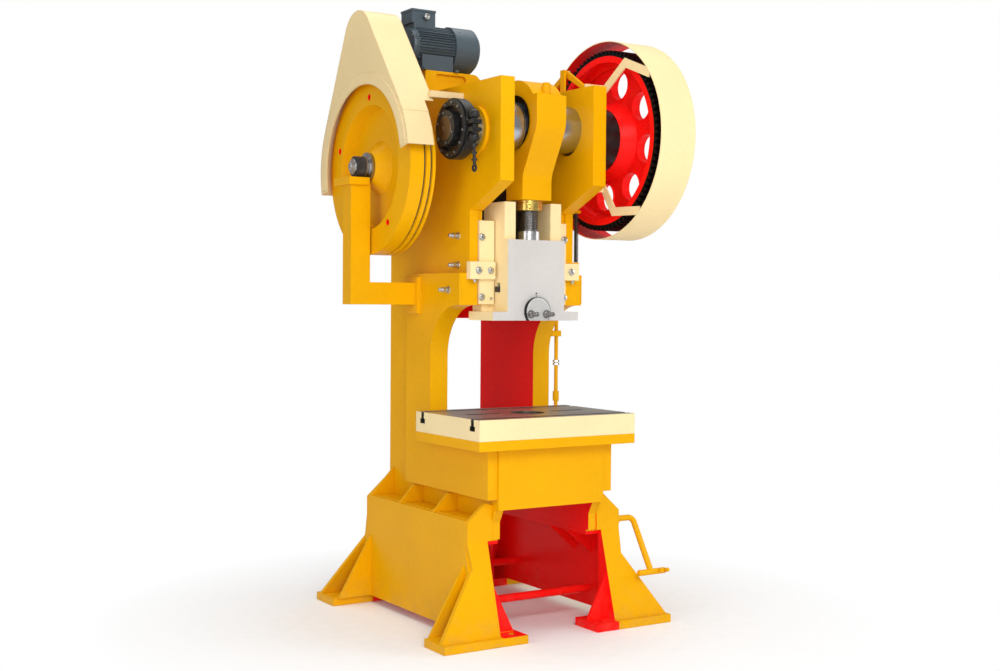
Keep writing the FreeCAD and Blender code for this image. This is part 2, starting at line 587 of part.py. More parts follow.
crank_line = (0, 0, S.crank_z)
pin_z = S.crank_z + S.throw
cheek_in = rail_in - S.part_gap
crank = Piece("crankshaft")
crank.pad("YZ", [Ring(0, pin_z, S.journal_rad)], -S.web_in, 2 * S.web_in)
for side, name in SIDES:
    crank.pad("YZ", [Ring(0, S.crank_z + S.throw / 2, S.web_rad)], *span(side, S.web_in, cheek_in))
crank.pad("YZ", [Ring(0, S.crank_z, S.journal_rad)], *span(-1, cheek_in, S.brake_in))
crank.pad("YZ", [Ring(0, S.crank_z, S.drum_seat_rad)], *span(-1, S.brake_in, S.crank_left))
crank.pad("YZ", [Ring(0, S.crank_z, S.journal_rad)], *span(1, cheek_in, S.crank_right))
thrust = Ring(0, S.crank_z + S.thrust_up, S.thrust_rad)
crank.pad("YZ", [thrust], *span(-1, S.web_in, S.web_in + S.thrust_thick))
bush_in = S.journal_rad + S.run_gap
crank_bushes = []
for side, name in SIDES:
    start, length = span(side, rail_in, plate_out + S.boss_proud)
    crank_bushes.append(tube_bar(start, length, crank_line, bush_in, bush_in + S.bush_wall))
finish_piece(group(crank_bushes, "crank_bushes"), "crank_bushes")
drum_bore = S.drum_seat_rad
turned("brake_drum", crank_line, [[
    (-S.brake_in, drum_bore), (-S.brake_in, S.brake_rad), (-S.brake_out, S.brake_rad),
    (-S.brake_out, S.brake_rad - S.rim_wall), (-S.brake_out + S.face_deep, S.brake_rad - S.rim_wall),
    (-S.brake_out + S.face_deep, S.collar_rad), (-S.crank_left, S.collar_rad), (-S.crank_left, drum_bore)]])
sleeve_in = plate_out + S.boss_proud + S.part_gap
sleeve_out = S.gear_in - S.part_gap
turned("clutch_sleeve", crank_line, [tube_loop(sleeve_in, sleeve_out, S.journal_rad, S.sleeve_rad)])
turned("gear_bush", crank_line, [tube_loop(S.gear_in, S.hub_out, bush_in, bush_in + S.bush_wall)])
finish_piece(round_bar((S.crank_right, 0, S.crank_z), "X", S.cap_rad, S.cap_thick), "gear_end_cap")


def brake():
    """Band round the drum, its spring bolt with two knobs, and the arm that holds it."""
    gap_rad = S.brake_rad + S.part_gap
    mid = S.brake_in + (S.brake_out - S.brake_in) / 2
    left, right = -mid - S.band_half, -mid + S.band_half
    ears = block(left, -gap_rad - S.ear_len, S.crank_z - S.ear_tall, right, -gap_rad + S.band_thick,
                 S.crank_z + S.ear_tall)
    slit = block(left - 1, -gap_rad - S.ear_len - 1, S.crank_z - S.slit / 2, right + 1, -S.drum_seat_rad,
                 S.crank_z + S.slit / 2)
    band = fused([round_bar((left, 0, S.crank_z), "X", gap_rad + S.band_thick, 2 * S.band_half), ears])
    ear_y = -gap_rad - S.ear_len / 2
    bolt_hole = round_bar((-mid, ear_y, S.crank_z - 2 * S.ear_tall), "Z", S.bolt_rad + S.bolt_gap,
                          4 * S.ear_tall)
    inside = round_bar((left - 1, 0, S.crank_z), "X", gap_rad, 2 * S.band_half + 2)
    finish_piece(less(band, [inside, slit, bolt_hole]), "brake_band")
    stem = round_bar((-mid, ear_y, S.crank_z - S.knob_out), "Z", S.bolt_rad, 2 * S.knob_out)
    tops = [round_bar((-mid, ear_y, z), "Z", S.knob_rad, S.knob_tall)
            for z in (S.crank_z + S.ear_tall, S.crank_z - S.ear_tall - S.knob_tall)]
    finish_piece(fused([stem] + tops), "brake_spring_bolt")
    behind = gap_rad + S.band_thick
    arm = block(-mid - S.anchor_half, behind, S.crank_z - S.ear_tall, -plate_out, behind + S.anchor_thick,
                S.crank_z + S.ear_tall)
    finish_piece(arm, "brake_anchor")


brake()


# ---- toothed wheels ---------------------------------------------------------------------

def tooth_wire(x, count, turn):
    """Closed outline of a spur wheel: straight roots and tips, flanks in two runs."""
    modul, slack = num(S.modul), num(S.backlash)
    pitch = modul * count / 2
    rows = ((pitch - 1.2 * modul, 0.30), (pitch, 0.25), (pitch + 0.95 * modul, 0.13))
    points = []
    for tooth in range(count):
        middle = turn + 2 * math.pi * tooth / count
        flank = [(radius, 2 * math.pi * share / count - slack / (2 * radius)) for radius, share in rows]
        steps = [(r, -half) for r, half in flank] + [(r, half) for r, half in reversed(flank)]
        points += [V(x, r * math.cos(middle + a), r * math.sin(middle + a)) for r, a in steps]
    return Part.makePolygon(points + points[:1])


def disc(x, radius, length):
    return Part.makeCylinder(radius, length, V(x, 0, 0), V(1, 0, 0))


def big_gear():
    x, wide = num(S.gear_in), num(S.gear_wide)
    mesh = math.atan2(num(layshaft_z - S.crank_z), num(layshaft_y))
    count = int(num(S.gear_teeth))
    rim_in = num(gear_pitch) - 1.2 * num(S.modul) - num(S.rim_deep)
    ring = Part.Face(tooth_wire(x, count, mesh)).extrude(V(wide, 0, 0)).cut(disc(x, rim_in, wide))
    web = disc(num(S.web_x), rim_in + 1, num(S.web_thick))
    for i in range(int(num(S.hole_count))):
        angle = math.radians(num(S.hole_turn) + 360 * i / num(S.hole_count))
        place = V(num(S.web_x) - 1, num(S.hole_ring) * math.cos(angle), num(S.hole_ring) * math.sin(angle))
        web = web.cut(Part.makeCylinder(num(S.hole_rad), num(S.web_thick) + 2, place, V(1, 0, 0)))
    hub = Part.makeCone(num(S.hub_rad), num(S.hub_flare), num(S.web_x) - x, V(x, 0, 0), V(1, 0, 0))
    hub = hub.fuse(disc(num(S.web_x), num(S.hub_tip_rad), num(S.hub_out - S.web_x)))
    bore = disc(x - 1, num(bush_in + S.bush_wall), num(S.hub_out) - x + 2)
    gear = ring.fuse([web, hub]).cut(bore)
    gear.translate(V(0, 0, num(S.crank_z)))
    return gear


def pinion():
    x, wide = num(S.gear_in), num(S.gear_wide)
    count = int(num(S.pinion_teeth))
    back = math.atan2(num(S.crank_z - layshaft_z), -num(layshaft_y))
    wheel = Part.Face(tooth_wire(x, count, back + math.pi / count)).extrude(V(wide, 0, 0))
    wheel = wheel.cut(disc(x - 1, num(S.layshaft_rad), wide + 2))
    wheel.translate(V(0, num(layshaft_y), num(layshaft_z)))
    return wheel


formed(big_gear(), "big_gear")
formed(pinion(), "pinion")

# ---- layshaft with flywheel, spool and roller -------------------------------------------

lay_line = (0, layshaft_y, layshaft_z)
housing_bore = S.layshaft_rad + S.bush_wall + S.run_gap
end_x = S.post_out - S.shaft_end_in
turned("pinion_shaft", lay_line,
       [tube_loop(-end_x, S.gear_in + S.gear_wide + S.pin_out, 0, S.layshaft_rad)])
bushes = []
housings = []
for side, name in SIDES:
    tail = plate_out + S.housing_out
    rim_out, rim_rad = plate_out + S.housing_rim, housing_rad + S.housing_rim
    points = [(S.plate_in, housing_bore), (S.plate_in, housing_rad), (plate_out, housing_rad),
              (plate_out, rim_rad), (rim_out, rim_rad), (rim_out, housing_rad - S.housing_taper),
              (tail, housing_rad - 2 * S.housing_taper), (tail, housing_bore)]
    housing = turned(name + "_housing", lay_line, [[(side * x, r) for x, r in points]], alone=False)
    housings.append(housing.body)
    start, length = span(side, S.plate_in, tail)
    bushes.append(tube_bar(start, length, lay_line, S.layshaft_rad + S.run_gap, housing_bore))
finish_piece(group(housings, "bearing_housings"), "bearing_housings")
finish_piece(group(bushes, "layshaft_bushes"), "layshaft_bushes")


def groove_steps(x, radius):
    """One V-groove of a rim, from left to right."""
    wide, bottom = S.groove_wide / 2, S.groove_wide / 4
    return [(x - wide, radius), (x - bottom, radius - S.groove_deep), (x + bottom, radius - S.groove_deep),
            (x + wide, radius)]


def groove_places():
    first = S.wheel_in + S.groove_start
    return [-(first + S.groove_pitch * i) for i in reversed(range(int(num(S.grooves))))]


def flywheel():
    left, right = -S.wheel_out, -S.wheel_in
    floor, back = left + S.recess_deep, right - S.back_deep
    outline = [(left, S.layshaft_rad), (left, S.wheel_hub_tip), (floor, S.wheel_hub_rad),
               (floor, S.recess_rad - S.recess_taper), (left, S.recess_rad), (left, S.wheel_rad)]
    for x in groove_places():
        outline += groove_steps(x, S.wheel_rad)
    outline += [(right, S.wheel_rad), (right, S.recess_rad), (back, S.recess_rad - S.recess_taper),
                (back, S.wheel_hub_rad), (right, S.wheel_hub_tip), (right, S.layshaft_rad)]
    wheel = turned("flywheel", lay_line, [outline])
    holes = []
    for i in range(int(num(S.key_holes))):
        angle = 90 + 360 * i / num(S.key_holes)
        across = S.key_ring * math.cos(math.radians(angle))
        up = S.key_ring * math.sin(math.radians(angle))
        holes.append(Ring(layshaft_y + across, layshaft_z + up, S.key_hole_rad))
    wheel.cut("YZ", holes, left, S.key_deep)


flywheel()
ring_x = S.wheel_out + S.ring_thick
spool_x = ring_x + S.spool_wide
waist = S.spool_rad - S.spool_waist
lip, bend = S.spool_lip, S.spool_lip + S.spool_bend
turned("shaft_spool", lay_line, [[
    (-spool_x, S.layshaft_rad), (-spool_x, S.spool_rad), (-spool_x + lip, S.spool_rad),
    (-spool_x + bend, waist), (-ring_x - bend, waist), (-ring_x - lip, S.spool_rad), (-ring_x, S.spool_rad),
    (-ring_x, S.ring_rad), (-S.wheel_out, S.ring_rad), (-S.wheel_out, S.layshaft_rad)]])
roller_x = spool_x + S.roller_wide
turned("support_roller", lay_line, [tube_loop(-roller_x, -spool_x, S.layshaft_rad, S.roller_rad)])
nut = hexagon((-end_x - S.nut_thick, layshaft_y, layshaft_z), "X", S.layshaft_rad - 6, S.nut_thick)
finish_piece(nut, "shaft_nut")


# ---- connecting rod, ball screw and slide -------------------------------------------------

def connecting_rod():
    outline = [(S.neck_front, S.neck_top), (S.neck_front, S.neck_bend_top, S.bend_rad),
               (S.stem_front, S.stem_z, S.bend_rad), (S.stem_front, S.rod_low), (S.stem_back, S.rod_low),
               (S.stem_back, S.stem_z), (S.stem_back * 1.8, S.neck_bend_top), (S.stem_back * 1.8, S.neck_top)]
    rod = Piece("connecting_rod").pad("YZ", [outline], -S.rod_half, 2 * S.rod_half)
    rod.pad("YZ", [Ring(0, pin_z, S.ring_out_rad)], -S.rod_half, 2 * S.rod_half)
    rod.pad("XY", [Ring(0, S.cup_y, S.cup_rad)], S.neck_top - 20, S.cup_top - S.neck_top + 20)
    rod.cut("YZ", [Ring(0, pin_z, bush_in + S.bush_wall)], -S.rod_half, 2 * S.rod_half)
    rod.cut("XY", [Ring(0, 0, S.screw_rad + S.screw_gap)], S.rod_low, S.screw_top + S.adjust_up - S.rod_low)
    return rod


connecting_rod()
turned("rod_bush", (0, 0, pin_z), [tube_loop(-S.rod_half, S.rod_half, bush_in, bush_in + S.bush_wall)])
up_line = (0, 0, 0)
lock = box_loop(S.screw_rad + S.screw_gap, S.lock_low, S.lock_rad, S.rod_low - S.part_gap)
turned("lock_ring", up_line, [lock], "Z")
thread_low = S.seat_top + S.thread_gap
ball = DOC.addObject("Part::Sphere", "ball")
bind(ball, "Radius", S.ball_rad)
set_place(ball, (0, 0, S.ball_z), "Z")
finish_piece(fused([ball, round_bar((0, 0, S.ball_z), "Z", S.neck_rad, thread_low - S.ball_z),
                    round_bar((0, 0, thread_low), "Z", S.screw_rad, S.screw_top - thread_low)]), "ball_screw")
socket = DOC.addObject("Part::Sphere", "socket")
bind(socket, "Radius", S.ball_rad + S.run_gap)
set_place(socket, (0, 0, S.ball_z), "Z")
seat_low = S.ball_z - S.ball_rad - S.bush_wall
cup = round_bar((0, 0, seat_low), "Z", S.bore_rad - S.run_gap, S.ball_z - seat_low)
finish_piece(less(cup, [socket]), "ball_seat")
cap_low = S.ball_z + S.retainer_up
turned("ball_retainer", up_line, [[(S.neck_rad + S.retainer_gap, cap_low), (S.bore_rad - S.run_gap, cap_low),
       (S.bore_rad - S.run_gap, S.face_top), (S.seat_rad, S.face_top), (S.seat_rad, S.seat_top),
       (S.neck_rad + S.retainer_gap, S.seat_top)]], "Z")


def slide():
    ram = Piece("slide")
    ram.pad("XY", [box_loop(-S.slide_half, S.slide_front, S.slide_half, S.slide_back)], S.slide_low,
            S.face_top - S.slide_low)
    ram.pad("XY", [box_loop(-S.flange_half, S.slide_front, S.flange_half, S.slide_back)], S.slide_low,
            S.flange_z - S.slide_low)
    for side, name in SIDES:
        start, length = span(side, S.horn_in, S.slide_half)
        ram.pad("XY", [box_loop(start, S.horn_front, start + length, S.slide_back)], S.face_top,
                S.horn_top - S.face_top)
        start, length = span(side, S.slide_half, wing_half)
        ram.pad("XY", [box_loop(start, S.gib_back + S.guide_gap, start + length, S.slide_back)], S.flange_z,
                S.gib_top - S.flange_z)
    ram.cut("XY", [Ring(0, 0, S.bore_rad)], seat_low, S.face_top - seat_low)
    ram.cut("XY", [Ring(0, 0, S.shank_rad)], S.slide_low, S.shank_deep)
    bar_back = S.bar_y + S.bar_deep / 2 + S.part_gap
    bar_front = S.bar_y - S.bar_deep / 2 - S.part_gap
    slot_top = S.bar_low + S.bar_tall + S.bar_travel + S.part_gap
    ram.cut("YZ", [box_loop(bar_front, S.bar_low - 0.3, bar_back, slot_top)], -S.slide_half, 2 * S.slide_half)
    return ram


slide()
bar_front = S.bar_y - S.bar_deep / 2
finish_piece(block(-S.bar_len / 2, bar_front, S.bar_low, S.bar_len / 2, bar_front + S.bar_deep,
                   S.bar_low + S.bar_tall), "knockout_bar")
clamp = Piece("die_clamp_block")
clamp_front = S.slide_front - S.clamp_proud
clamp.pad("XZ", [Ring(0, S.clamp_z, S.clamp_rad)], clamp_front, S.clamp_proud)
below = box_loop(-S.flange_half, S.slide_low - 2 * S.clamp_rad, S.flange_half, S.slide_low)
clamp.cut("XZ", [below], clamp_front, S.clamp_proud)
studs = []
for side in (-1, 1):
    x = side * S.stud_half
    stud = round_bar((x, clamp_front - S.stud_out, S.stud_z), "Y", S.stud_rad, S.stud_out)
    nut = hexagon((x, clamp_front - S.stud_nut, S.stud_z), "Y", S.stud_rad * 1.7, S.stud_nut)
    studs.append(fused([stud, nut]))
finish_piece(group(studs, "clamp_studs"), "clamp_studs")


# ---- gibs, stops and their bolts ------------------------------------------------------------

def bolt(x, z, seat_y, reach):
    """A hexagon bolt along Y: its head stands in front of seat_y, its shank goes behind."""
    head = hexagon((x, seat_y - S.head_tall, z), "Y", S.bolt_head, S.head_tall)
    return fused([head, round_bar((x, seat_y, z), "Y", S.bolt_rad, reach)])


bar_stop = S.bar_low + S.bar_tall + S.bar_travel + S.part_gap
gib_bolts = []
gibs = []
stops = []
for side, name in SIDES:
    holes = [Ring(side * S.gib_bolt_x, z, S.bolt_rad + S.bolt_gap) for z in GIB_BOLTS]
    start, length = span(side, S.gib_in, S.gib_out)
    edge = box_loop(start, S.gib_low, start + length, S.gib_top)
    gib = Piece(name + "_gib", alone=False)
    gib.pad("XZ", [edge] + holes, S.gib_front, S.gib_back - S.gib_front)
    gibs.append(gib.body)
    reach = S.gib_back - S.gib_front + S.bolt_len - S.seat_slack
    gib_bolts += [bolt(side * S.gib_bolt_x, z, S.gib_front, reach) for z in GIB_BOLTS]
    start, length = span(side, S.stop_in, S.stop_out)
    edge = box_loop(start, S.stop_low, start + length, S.stop_top)
    hole = Ring(side * S.stop_bolt_x, stop_mid, S.bolt_rad + S.bolt_gap)
    inner_hole = Ring(side * S.stop_inner_x, stop_mid, S.bolt_rad + S.bolt_gap)
    stop = Piece(name + "_stop", alone=False)
    stop.pad("XZ", [edge, hole, inner_hole], S.stop_front, S.gib_front - S.stop_front)
    start, length = span(side, S.plate_in, S.stop_out)
    heel = box_loop(start, S.stop_low, start + length, S.stop_top)
    stop.pad("XZ", [heel, hole], S.gib_front, S.neck_y - S.gib_front)
    stops.append(stop.body)
    reach = S.neck_y - S.stop_front + S.bolt_len - S.seat_slack
    gib_bolts.append(bolt(side * S.stop_bolt_x, stop_mid, S.stop_front, reach))
    reach = S.gib_front - S.stop_front - S.bolt_gap
    gib_bolts.append(bolt(side * S.stop_inner_x, stop_mid, S.stop_front, reach))
    screw = (side * S.stop_screw_x, (S.stop_front + S.gib_front) / 2, bar_stop)
    gib_bolts.append(hexagon(screw, "Z", S.bolt_rad, S.stop_low - bar_stop))
finish_piece(group(gibs, "gibs"), "gibs")
finish_piece(group(stops, "knockout_stops"), "knockout_stops")
for side, name in SIDES:
    for z, face in ((S.set_high, plate_out), (S.set_mid, plate_out), (S.set_low, doubler_out)):
        start, length = span(side, face, face + S.head_tall)
        nut = hexagon((start, S.set_y, z), "X", S.bolt_head, length)
        start, length = span(side, face + S.head_tall, face + 3 * S.head_tall)
        gib_bolts.append(fused([nut, round_bar((start, S.set_y, z), "X", S.bolt_rad, length)]))
finish_piece(group(gib_bolts, "guide_bolts"), "guide_bolts")


# ---- guards -----------------------------------------------------------------------------------

def hull_corners(x, top_rad, low_rad):
    """Where the tangents touch a circle round the motor shaft and one round the layshaft."""
    top = V(x, num(S.motor_y), num(S.motor_z))
    low = V(x, num(layshaft_y), num(layshaft_z))
    axis = (top - low).normalize()
    side = V(0, -axis.z, axis.y)
    lean = math.asin((low_rad - top_rad) / (top - low).Length)

    def touch(centre, radius, hand):
        return centre + (side * hand * math.cos(lean) + axis * math.sin(lean)) * radius

    ends = touch(low, low_rad, 1), touch(top, top_rad, 1), touch(top, top_rad, -1), touch(low, low_rad, -1)
    return ends, top + axis * top_rad, low - axis * low_rad


def hull_face(x, top_rad, low_rad):
    """The two circles with the tangents that join them."""
    (a, b, c, d), top, bottom = hull_corners(x, top_rad, low_rad)
    edges = [Part.LineSegment(a, b), Part.Arc(b, top, c), Part.LineSegment(c, d), Part.Arc(d, bottom, a)]
    return Part.Face(Part.Wire([e.toShape() for e in edges]))


belt_low_rad, belt_top_rad = S.wheel_rad + S.belt_room, S.pulley_rad + S.belt_top_room


def belt_guard():
    left, wall = -num(S.belt_x), num(S.sheet)
    inner, low_in = -num(S.guard_low_in), -num(S.belt_in)
    top_rad, low_rad = num(belt_top_rad), num(belt_low_rad)
    outer = hull_face(left, top_rad, low_rad).extrude(V(inner - left, 0, 0))
    hollow = hull_face(left + wall, top_rad - wall, low_rad - wall)
    guard = outer.cut(hollow.extrude(V(inner - left, 0, 0)))
    y, z = num(layshaft_y), num(layshaft_z)
    reach = 2 * low_rad
    window = Part.makeCylinder(num(S.wheel_rad - S.cut_lap), wall * 3, V(left - wall, y, z), V(1, 0, 0))
    front, back = y - reach, y + reach
    slope = (num(S.guard_back_z) - num(S.guard_front_z)) / reach
    rise = {edge: num(S.guard_front_z) + slope * (edge - y + reach / 2) for edge in (front, back)}
    below = [(front, rise[front]), (front, z - reach), (back, z - reach), (back, rise[back])]
    band_cut = Part.makeBox(inner - low_in + 1, 2 * reach, num(S.guard_step_z) - z + reach,
                            V(low_in, front, z - reach))
    guard = guard.cut(window).cut(prism("YZ", below, left - wall, 2 * reach)).cut(band_cut)
    low_end, top_end = hull_corners(left, top_rad, low_rad)[0][:2]
    share = (num(S.tab_z) - low_end.z) / (top_end.z - low_end.z)
    tab_y = low_end.y + share * (top_end.y - low_end.y) - num(S.tab_over)
    lap = num(S.tab_lap)
    tab = Part.makeBox(-num(plate_out) - inner + lap, num(S.tab_deep), num(S.tab_tall),
                       V(inner - lap, tab_y, num(S.tab_z)))
    return guard.fuse(tab)


formed(belt_guard(), "belt_guard")
band = tube_loop(S.guard_in, S.guard_out, S.guard_rad - S.sheet, S.guard_rad)
guard = turned("gear_guard", crank_line, [band])
window_half = pinion_pitch + S.window_more
window = box_loop(S.guard_in, layshaft_z - window_half, S.gear_in + S.gear_wide + S.band_cut_deep,
                  layshaft_z + window_half)
guard.cut("XZ", [window], layshaft_y - 2 * window_half, 4 * window_half)


def strip(points, wide):
    """The outline of a flat bar of even width along a bent line."""
    left, right = [], []
    for i, (y, z) in enumerate(points):
        before = points[max(i - 1, 0)]
        after = points[min(i + 1, len(points) - 1)]
        first = V(y - before[0], z - before[1], 0)
        second = V(after[0] - y, after[1] - z, 0)
        way = [v.normalize() for v in (first, second) if v.Length > 0]
        mean = V(0, 0, 0)
        for v in way:
            mean += v
        mean.normalize()
        side = V(-mean.y, mean.x, 0) * (wide / 2 / mean.dot(way[0]))
        left.append((y + side.x, z + side.y))
        right.append((y - side.x, z - side.y))
    return left + right[::-1]


def guard_bar(rim_turn, knee, foot):
    """A flat bar from the rim of the gear guard, bent once, to a foot on the cheek."""
    rim = num(S.guard_rad - S.sheet)
    angle = math.radians(rim_turn)
    start = (rim * math.cos(angle), num(S.crank_z) + rim * math.sin(angle))
    left, thick, wide = num(S.guard_in), num(S.bar_thick), num(S.bar_wide)
    bar = prism("YZ", strip([start, knee, foot], wide), left, thick)
    bar = bar.common(Part.makeCylinder(rim, thick, V(left, 0, num(S.crank_z)), V(1, 0, 0)))
    leg = Part.makeBox(left + thick - num(plate_out), thick, wide,
                       V(num(plate_out), foot[0] - thick / 2, foot[1] - wide / 2))
    return bar.fuse(leg).removeSplitter()


def pair(y, z):
    return num(y), num(z)


upper_knee, upper_foot = pair(S.upper_knee_y, S.upper_knee_z), pair(S.upper_foot_y, S.upper_foot_z)
lower_knee, lower_foot = pair(S.lower_knee_y, S.lower_knee_z), pair(S.lower_foot_y, S.lower_foot_z)
upper_bar = guard_bar(num(S.upper_turn), upper_knee, upper_foot)
lower_bar = guard_bar(num(S.lower_turn), lower_knee, lower_foot)
formed(Part.makeCompound([upper_bar, lower_bar]), "gear_guard_bars")


# ---- motor on its base ------------------------------------------------------------------------

motor_line = (0, S.motor_y, S.motor_z)


def motor_base():
    base = Piece("motor_base")
    face = [(-S.base_left, S.head_top), (S.base_right, S.head_top), (S.base_right, S.base_top, S.base_round),
            (-S.base_left, S.base_top)]
    base.pad("XZ", [face], S.base_front, S.base_back - S.base_front)
    dip = box_loop(-S.dip_left, S.dip_low, -S.dip_right, S.dip_low + S.dip_tall)
    base.cut("XZ", [[corner + (S.dip_tall / 2 - 0.5,) for corner in dip]], S.base_front, S.dimple)


motor_base()


def motor_frame():
    """Finned housing with its two feet."""
    y, z = num(S.motor_y), num(S.motor_z)
    left, right = num(S.body_left), num(S.body_right)
    core = num(S.motor_rad - S.fin_tall)
    frame = Part.makeCylinder(core, left - right, V(-left, y, z), V(1, 0, 0))
    end, wide, root = num(S.fin_end), num(S.fin_wide), num(S.fin_root)
    fin = Part.makeBox(left - right - 2 * end, wide, num(S.motor_rad) - core + root,
                       V(end - left, -wide / 2, core - root))
    fins = []
    for i in range(int(num(S.fins))):
        blade = fin.copy()
        blade.rotate(V(0, 0, 0), V(1, 0, 0), 360 * (i + 0.5) / num(S.fins))
        blade.translate(V(0, y, z))
        fins.append(blade)
    frame = frame.fuse(fins)
    end, wide, root = num(S.foot_end), num(S.motor_foot_wide), num(S.box_root)
    foot_y = [y + side * num(S.motor_foot_y) - wide / 2 for side in (-1, 1)]
    feet = [Part.makeBox(left - right - 2 * end, wide, z - num(S.base_top) - root,
                         V(end - left, start, num(S.base_top))) for start in foot_y]
    lap = num(S.cowl_lap)
    seat = Part.makeCylinder(num(S.cowl_rad - S.sheet - S.run_gap), lap, V(-right - lap, y, z), V(1, 0, 0))
    frame = frame.fuse(feet + [seat])
    box = Part.makeBox(left - num(S.box_right), num(S.box_deep), num(box_low) - z - root,
                       V(-left, num(S.box_front), z + root))
    return frame.fuse(box).removeSplitter()


formed(motor_frame(), "motor_frame")
shield_bore, shield_rad = S.motor_shaft_rad + S.run_gap, S.motor_rad - S.shield_step
shield_end = -S.body_left - S.shield_out
turned("motor_end_shield", motor_line, [[
    (-S.body_left, shield_bore), (-S.body_left, shield_rad), (-S.body_left - S.shield_step, shield_rad - 4),
    (shield_end, S.motor_shaft_rad + S.shield_out), (shield_end, shield_bore)]])
cowl_end = -S.cowl_right
cowl_start = -S.body_right - S.cowl_lap
cut, cowl_inner = S.cowl_chamfer, S.cowl_rad - S.sheet
turned("fan_cowl", motor_line, [[
    (cowl_start, cowl_inner), (cowl_start, S.cowl_rad), (cowl_end - cut, S.cowl_rad),
    (cowl_end, S.cowl_rad - cut), (cowl_end, 0), (cowl_end - S.sheet, 0),
    (cowl_end - S.sheet, cowl_inner - cut), (cowl_end - cut, cowl_inner)]])
fan_x = -S.body_right + S.fan_back
fan = round_bar((fan_x, S.motor_y, S.motor_z), "X", S.cowl_rad - S.fan_back / 2, S.fan_wide)
fan_end = round_bar((-S.body_right + S.part_gap, S.motor_y, S.motor_z), "X", S.motor_shaft_rad, S.fan_back)
drive_start = S.pulley_out + S.shaft_past
drive_end = round_bar((-drive_start, S.motor_y, S.motor_z), "X", S.motor_shaft_rad,
                      drive_start - S.body_left - S.part_gap)
finish_piece(group([drive_end, fused([fan_end, fan])], "motor_shaft"), "motor_shaft")
pulley_outline = [(-S.pulley_out, S.motor_shaft_rad), (-S.pulley_out, S.pulley_rad)]
for x in groove_places():
    pulley_outline += groove_steps(x, S.pulley_rad)
pulley_outline += [(-S.pulley_in, S.pulley_rad), (-S.pulley_in, S.motor_shaft_rad)]
turned("motor_pulley", motor_line, [pulley_outline])


def drive_belts():
    """One V-belt in each groove, kept clear of the groove's floor."""
    wide = num(S.groove_wide) / 2 - 2 * num(S.belt_gap)
    sunk, floor = num(S.belt_sunk), num(S.groove_deep - S.belt_gap)
    belts = []
    for x in groove_places():
        start = num(x) - wide / 2
        belt = hull_face(start, num(S.pulley_rad) - sunk, num(S.wheel_rad) - sunk)
        inner = hull_face(start, num(S.pulley_rad) - floor, num(S.wheel_rad) - floor)
        belts.append(belt.extrude(V(wide, 0, 0)).cut(inner.extrude(V(wide, 0, 0))))
    return Part.makeCompound(belts)


formed(drive_belts(), "drive_belts")
box_back = S.box_front + S.box_deep
lid_low = box_top - S.lid_thick
box_body = block(-S.box_left, S.box_front, box_low, -S.box_right, box_back, lid_low)
plug = hexagon((-S.plug_x, S.box_front - S.plug_rad, box_top - S.plug_drop), "Y", S.plug_rad, S.plug_rad)
finish_piece(fused([box_body, plug]), "terminal_box")
finish_piece(block(-S.box_left - S.sheet, S.box_front - S.sheet, lid_low, -S.box_right + S.sheet,
                   box_back + S.sheet, box_top), "terminal_lid")


# ---- bracket that holds the shaft's free end ---------------------------------------------------

def safety_bracket():
    bracket = Piece("safety_bracket")
    cap_low = layshaft_z - S.spool_rad - S.part_gap - S.cap_thick_z
    post_top, pad_out = cap_low + S.cap_slope, -doubler_out - S.pad_thick
    post = [(-S.post_out, post_top), (-S.post_out, S.arm_low), (pad_out, S.arm_low), (pad_out, S.arm_top),
            (-S.post_in, S.arm_top), (-S.post_in, post_top)]
    bracket.pad("XZ", [post], S.post_y - S.post_deep / 2, S.post_deep)
    cap = box_loop(-S.post_out - S.cap_past, S.cap_front, -ring_x - 1, S.cap_back)
    bracket.pad("XY", [cap], cap_low, S.cap_thick_z)
    pad = box_loop(S.pad_front, S.arm_low - S.pad_drop, S.doubler_back, S.arm_top + S.pad_rise)
    bracket.pad("YZ", [pad], pad_out, S.pad_thick)
    return bracket


safety_bracket()


# ---- pedal, pull rod and latch -----------------------------------------------------------------

lever_top = S.pedal_z - S.lever_drop


def pedal():
    """Shaft through the stand's wall, cranked arm to the foot bar outside, lever inside."""
    thick = num(S.pedal_rad)
    inner = V(num(S.lever_x), num(S.pedal_y), num(S.pedal_z))
    top = V(num(S.pedal_out), inner.y, inner.z)
    toe = V(num(S.pedal_out), num(S.toe_bar_y), num(S.toe_bar_z))
    axle = Part.makeCylinder(thick, top.x - inner.x, inner, V(1, 0, 0))
    arm = Part.makeCylinder(thick, (toe - top).Length, top, toe - top)
    left = V(num(S.toe_left), toe.y, toe.z)
    bar = Part.makeCylinder(thick, num(S.toe_right - S.toe_left), left, V(1, 0, 0))
    balls = [Part.makeSphere(thick, p) for p in (top, toe)]
    prongs = []
    for i in range(2):
        start = V(num(S.toe_right - S.prong_edge - S.prong_step * i), toe.y, toe.z)
        way = V(0, -1, num(S.prong_tilt))
        prongs.append(Part.makeCylinder(num(S.prong_rad), num(S.prong_long), start, way))
    lever = Part.makeBox(num(S.lever_wide), num(S.pull_y - S.pedal_y) + 8, num(S.lever_tall),
                         V(num(S.lever_x), num(S.pedal_y), num(lever_top - S.lever_tall)))
    return axle.fuse([arm, bar, lever] + balls + prongs).removeSplitter()


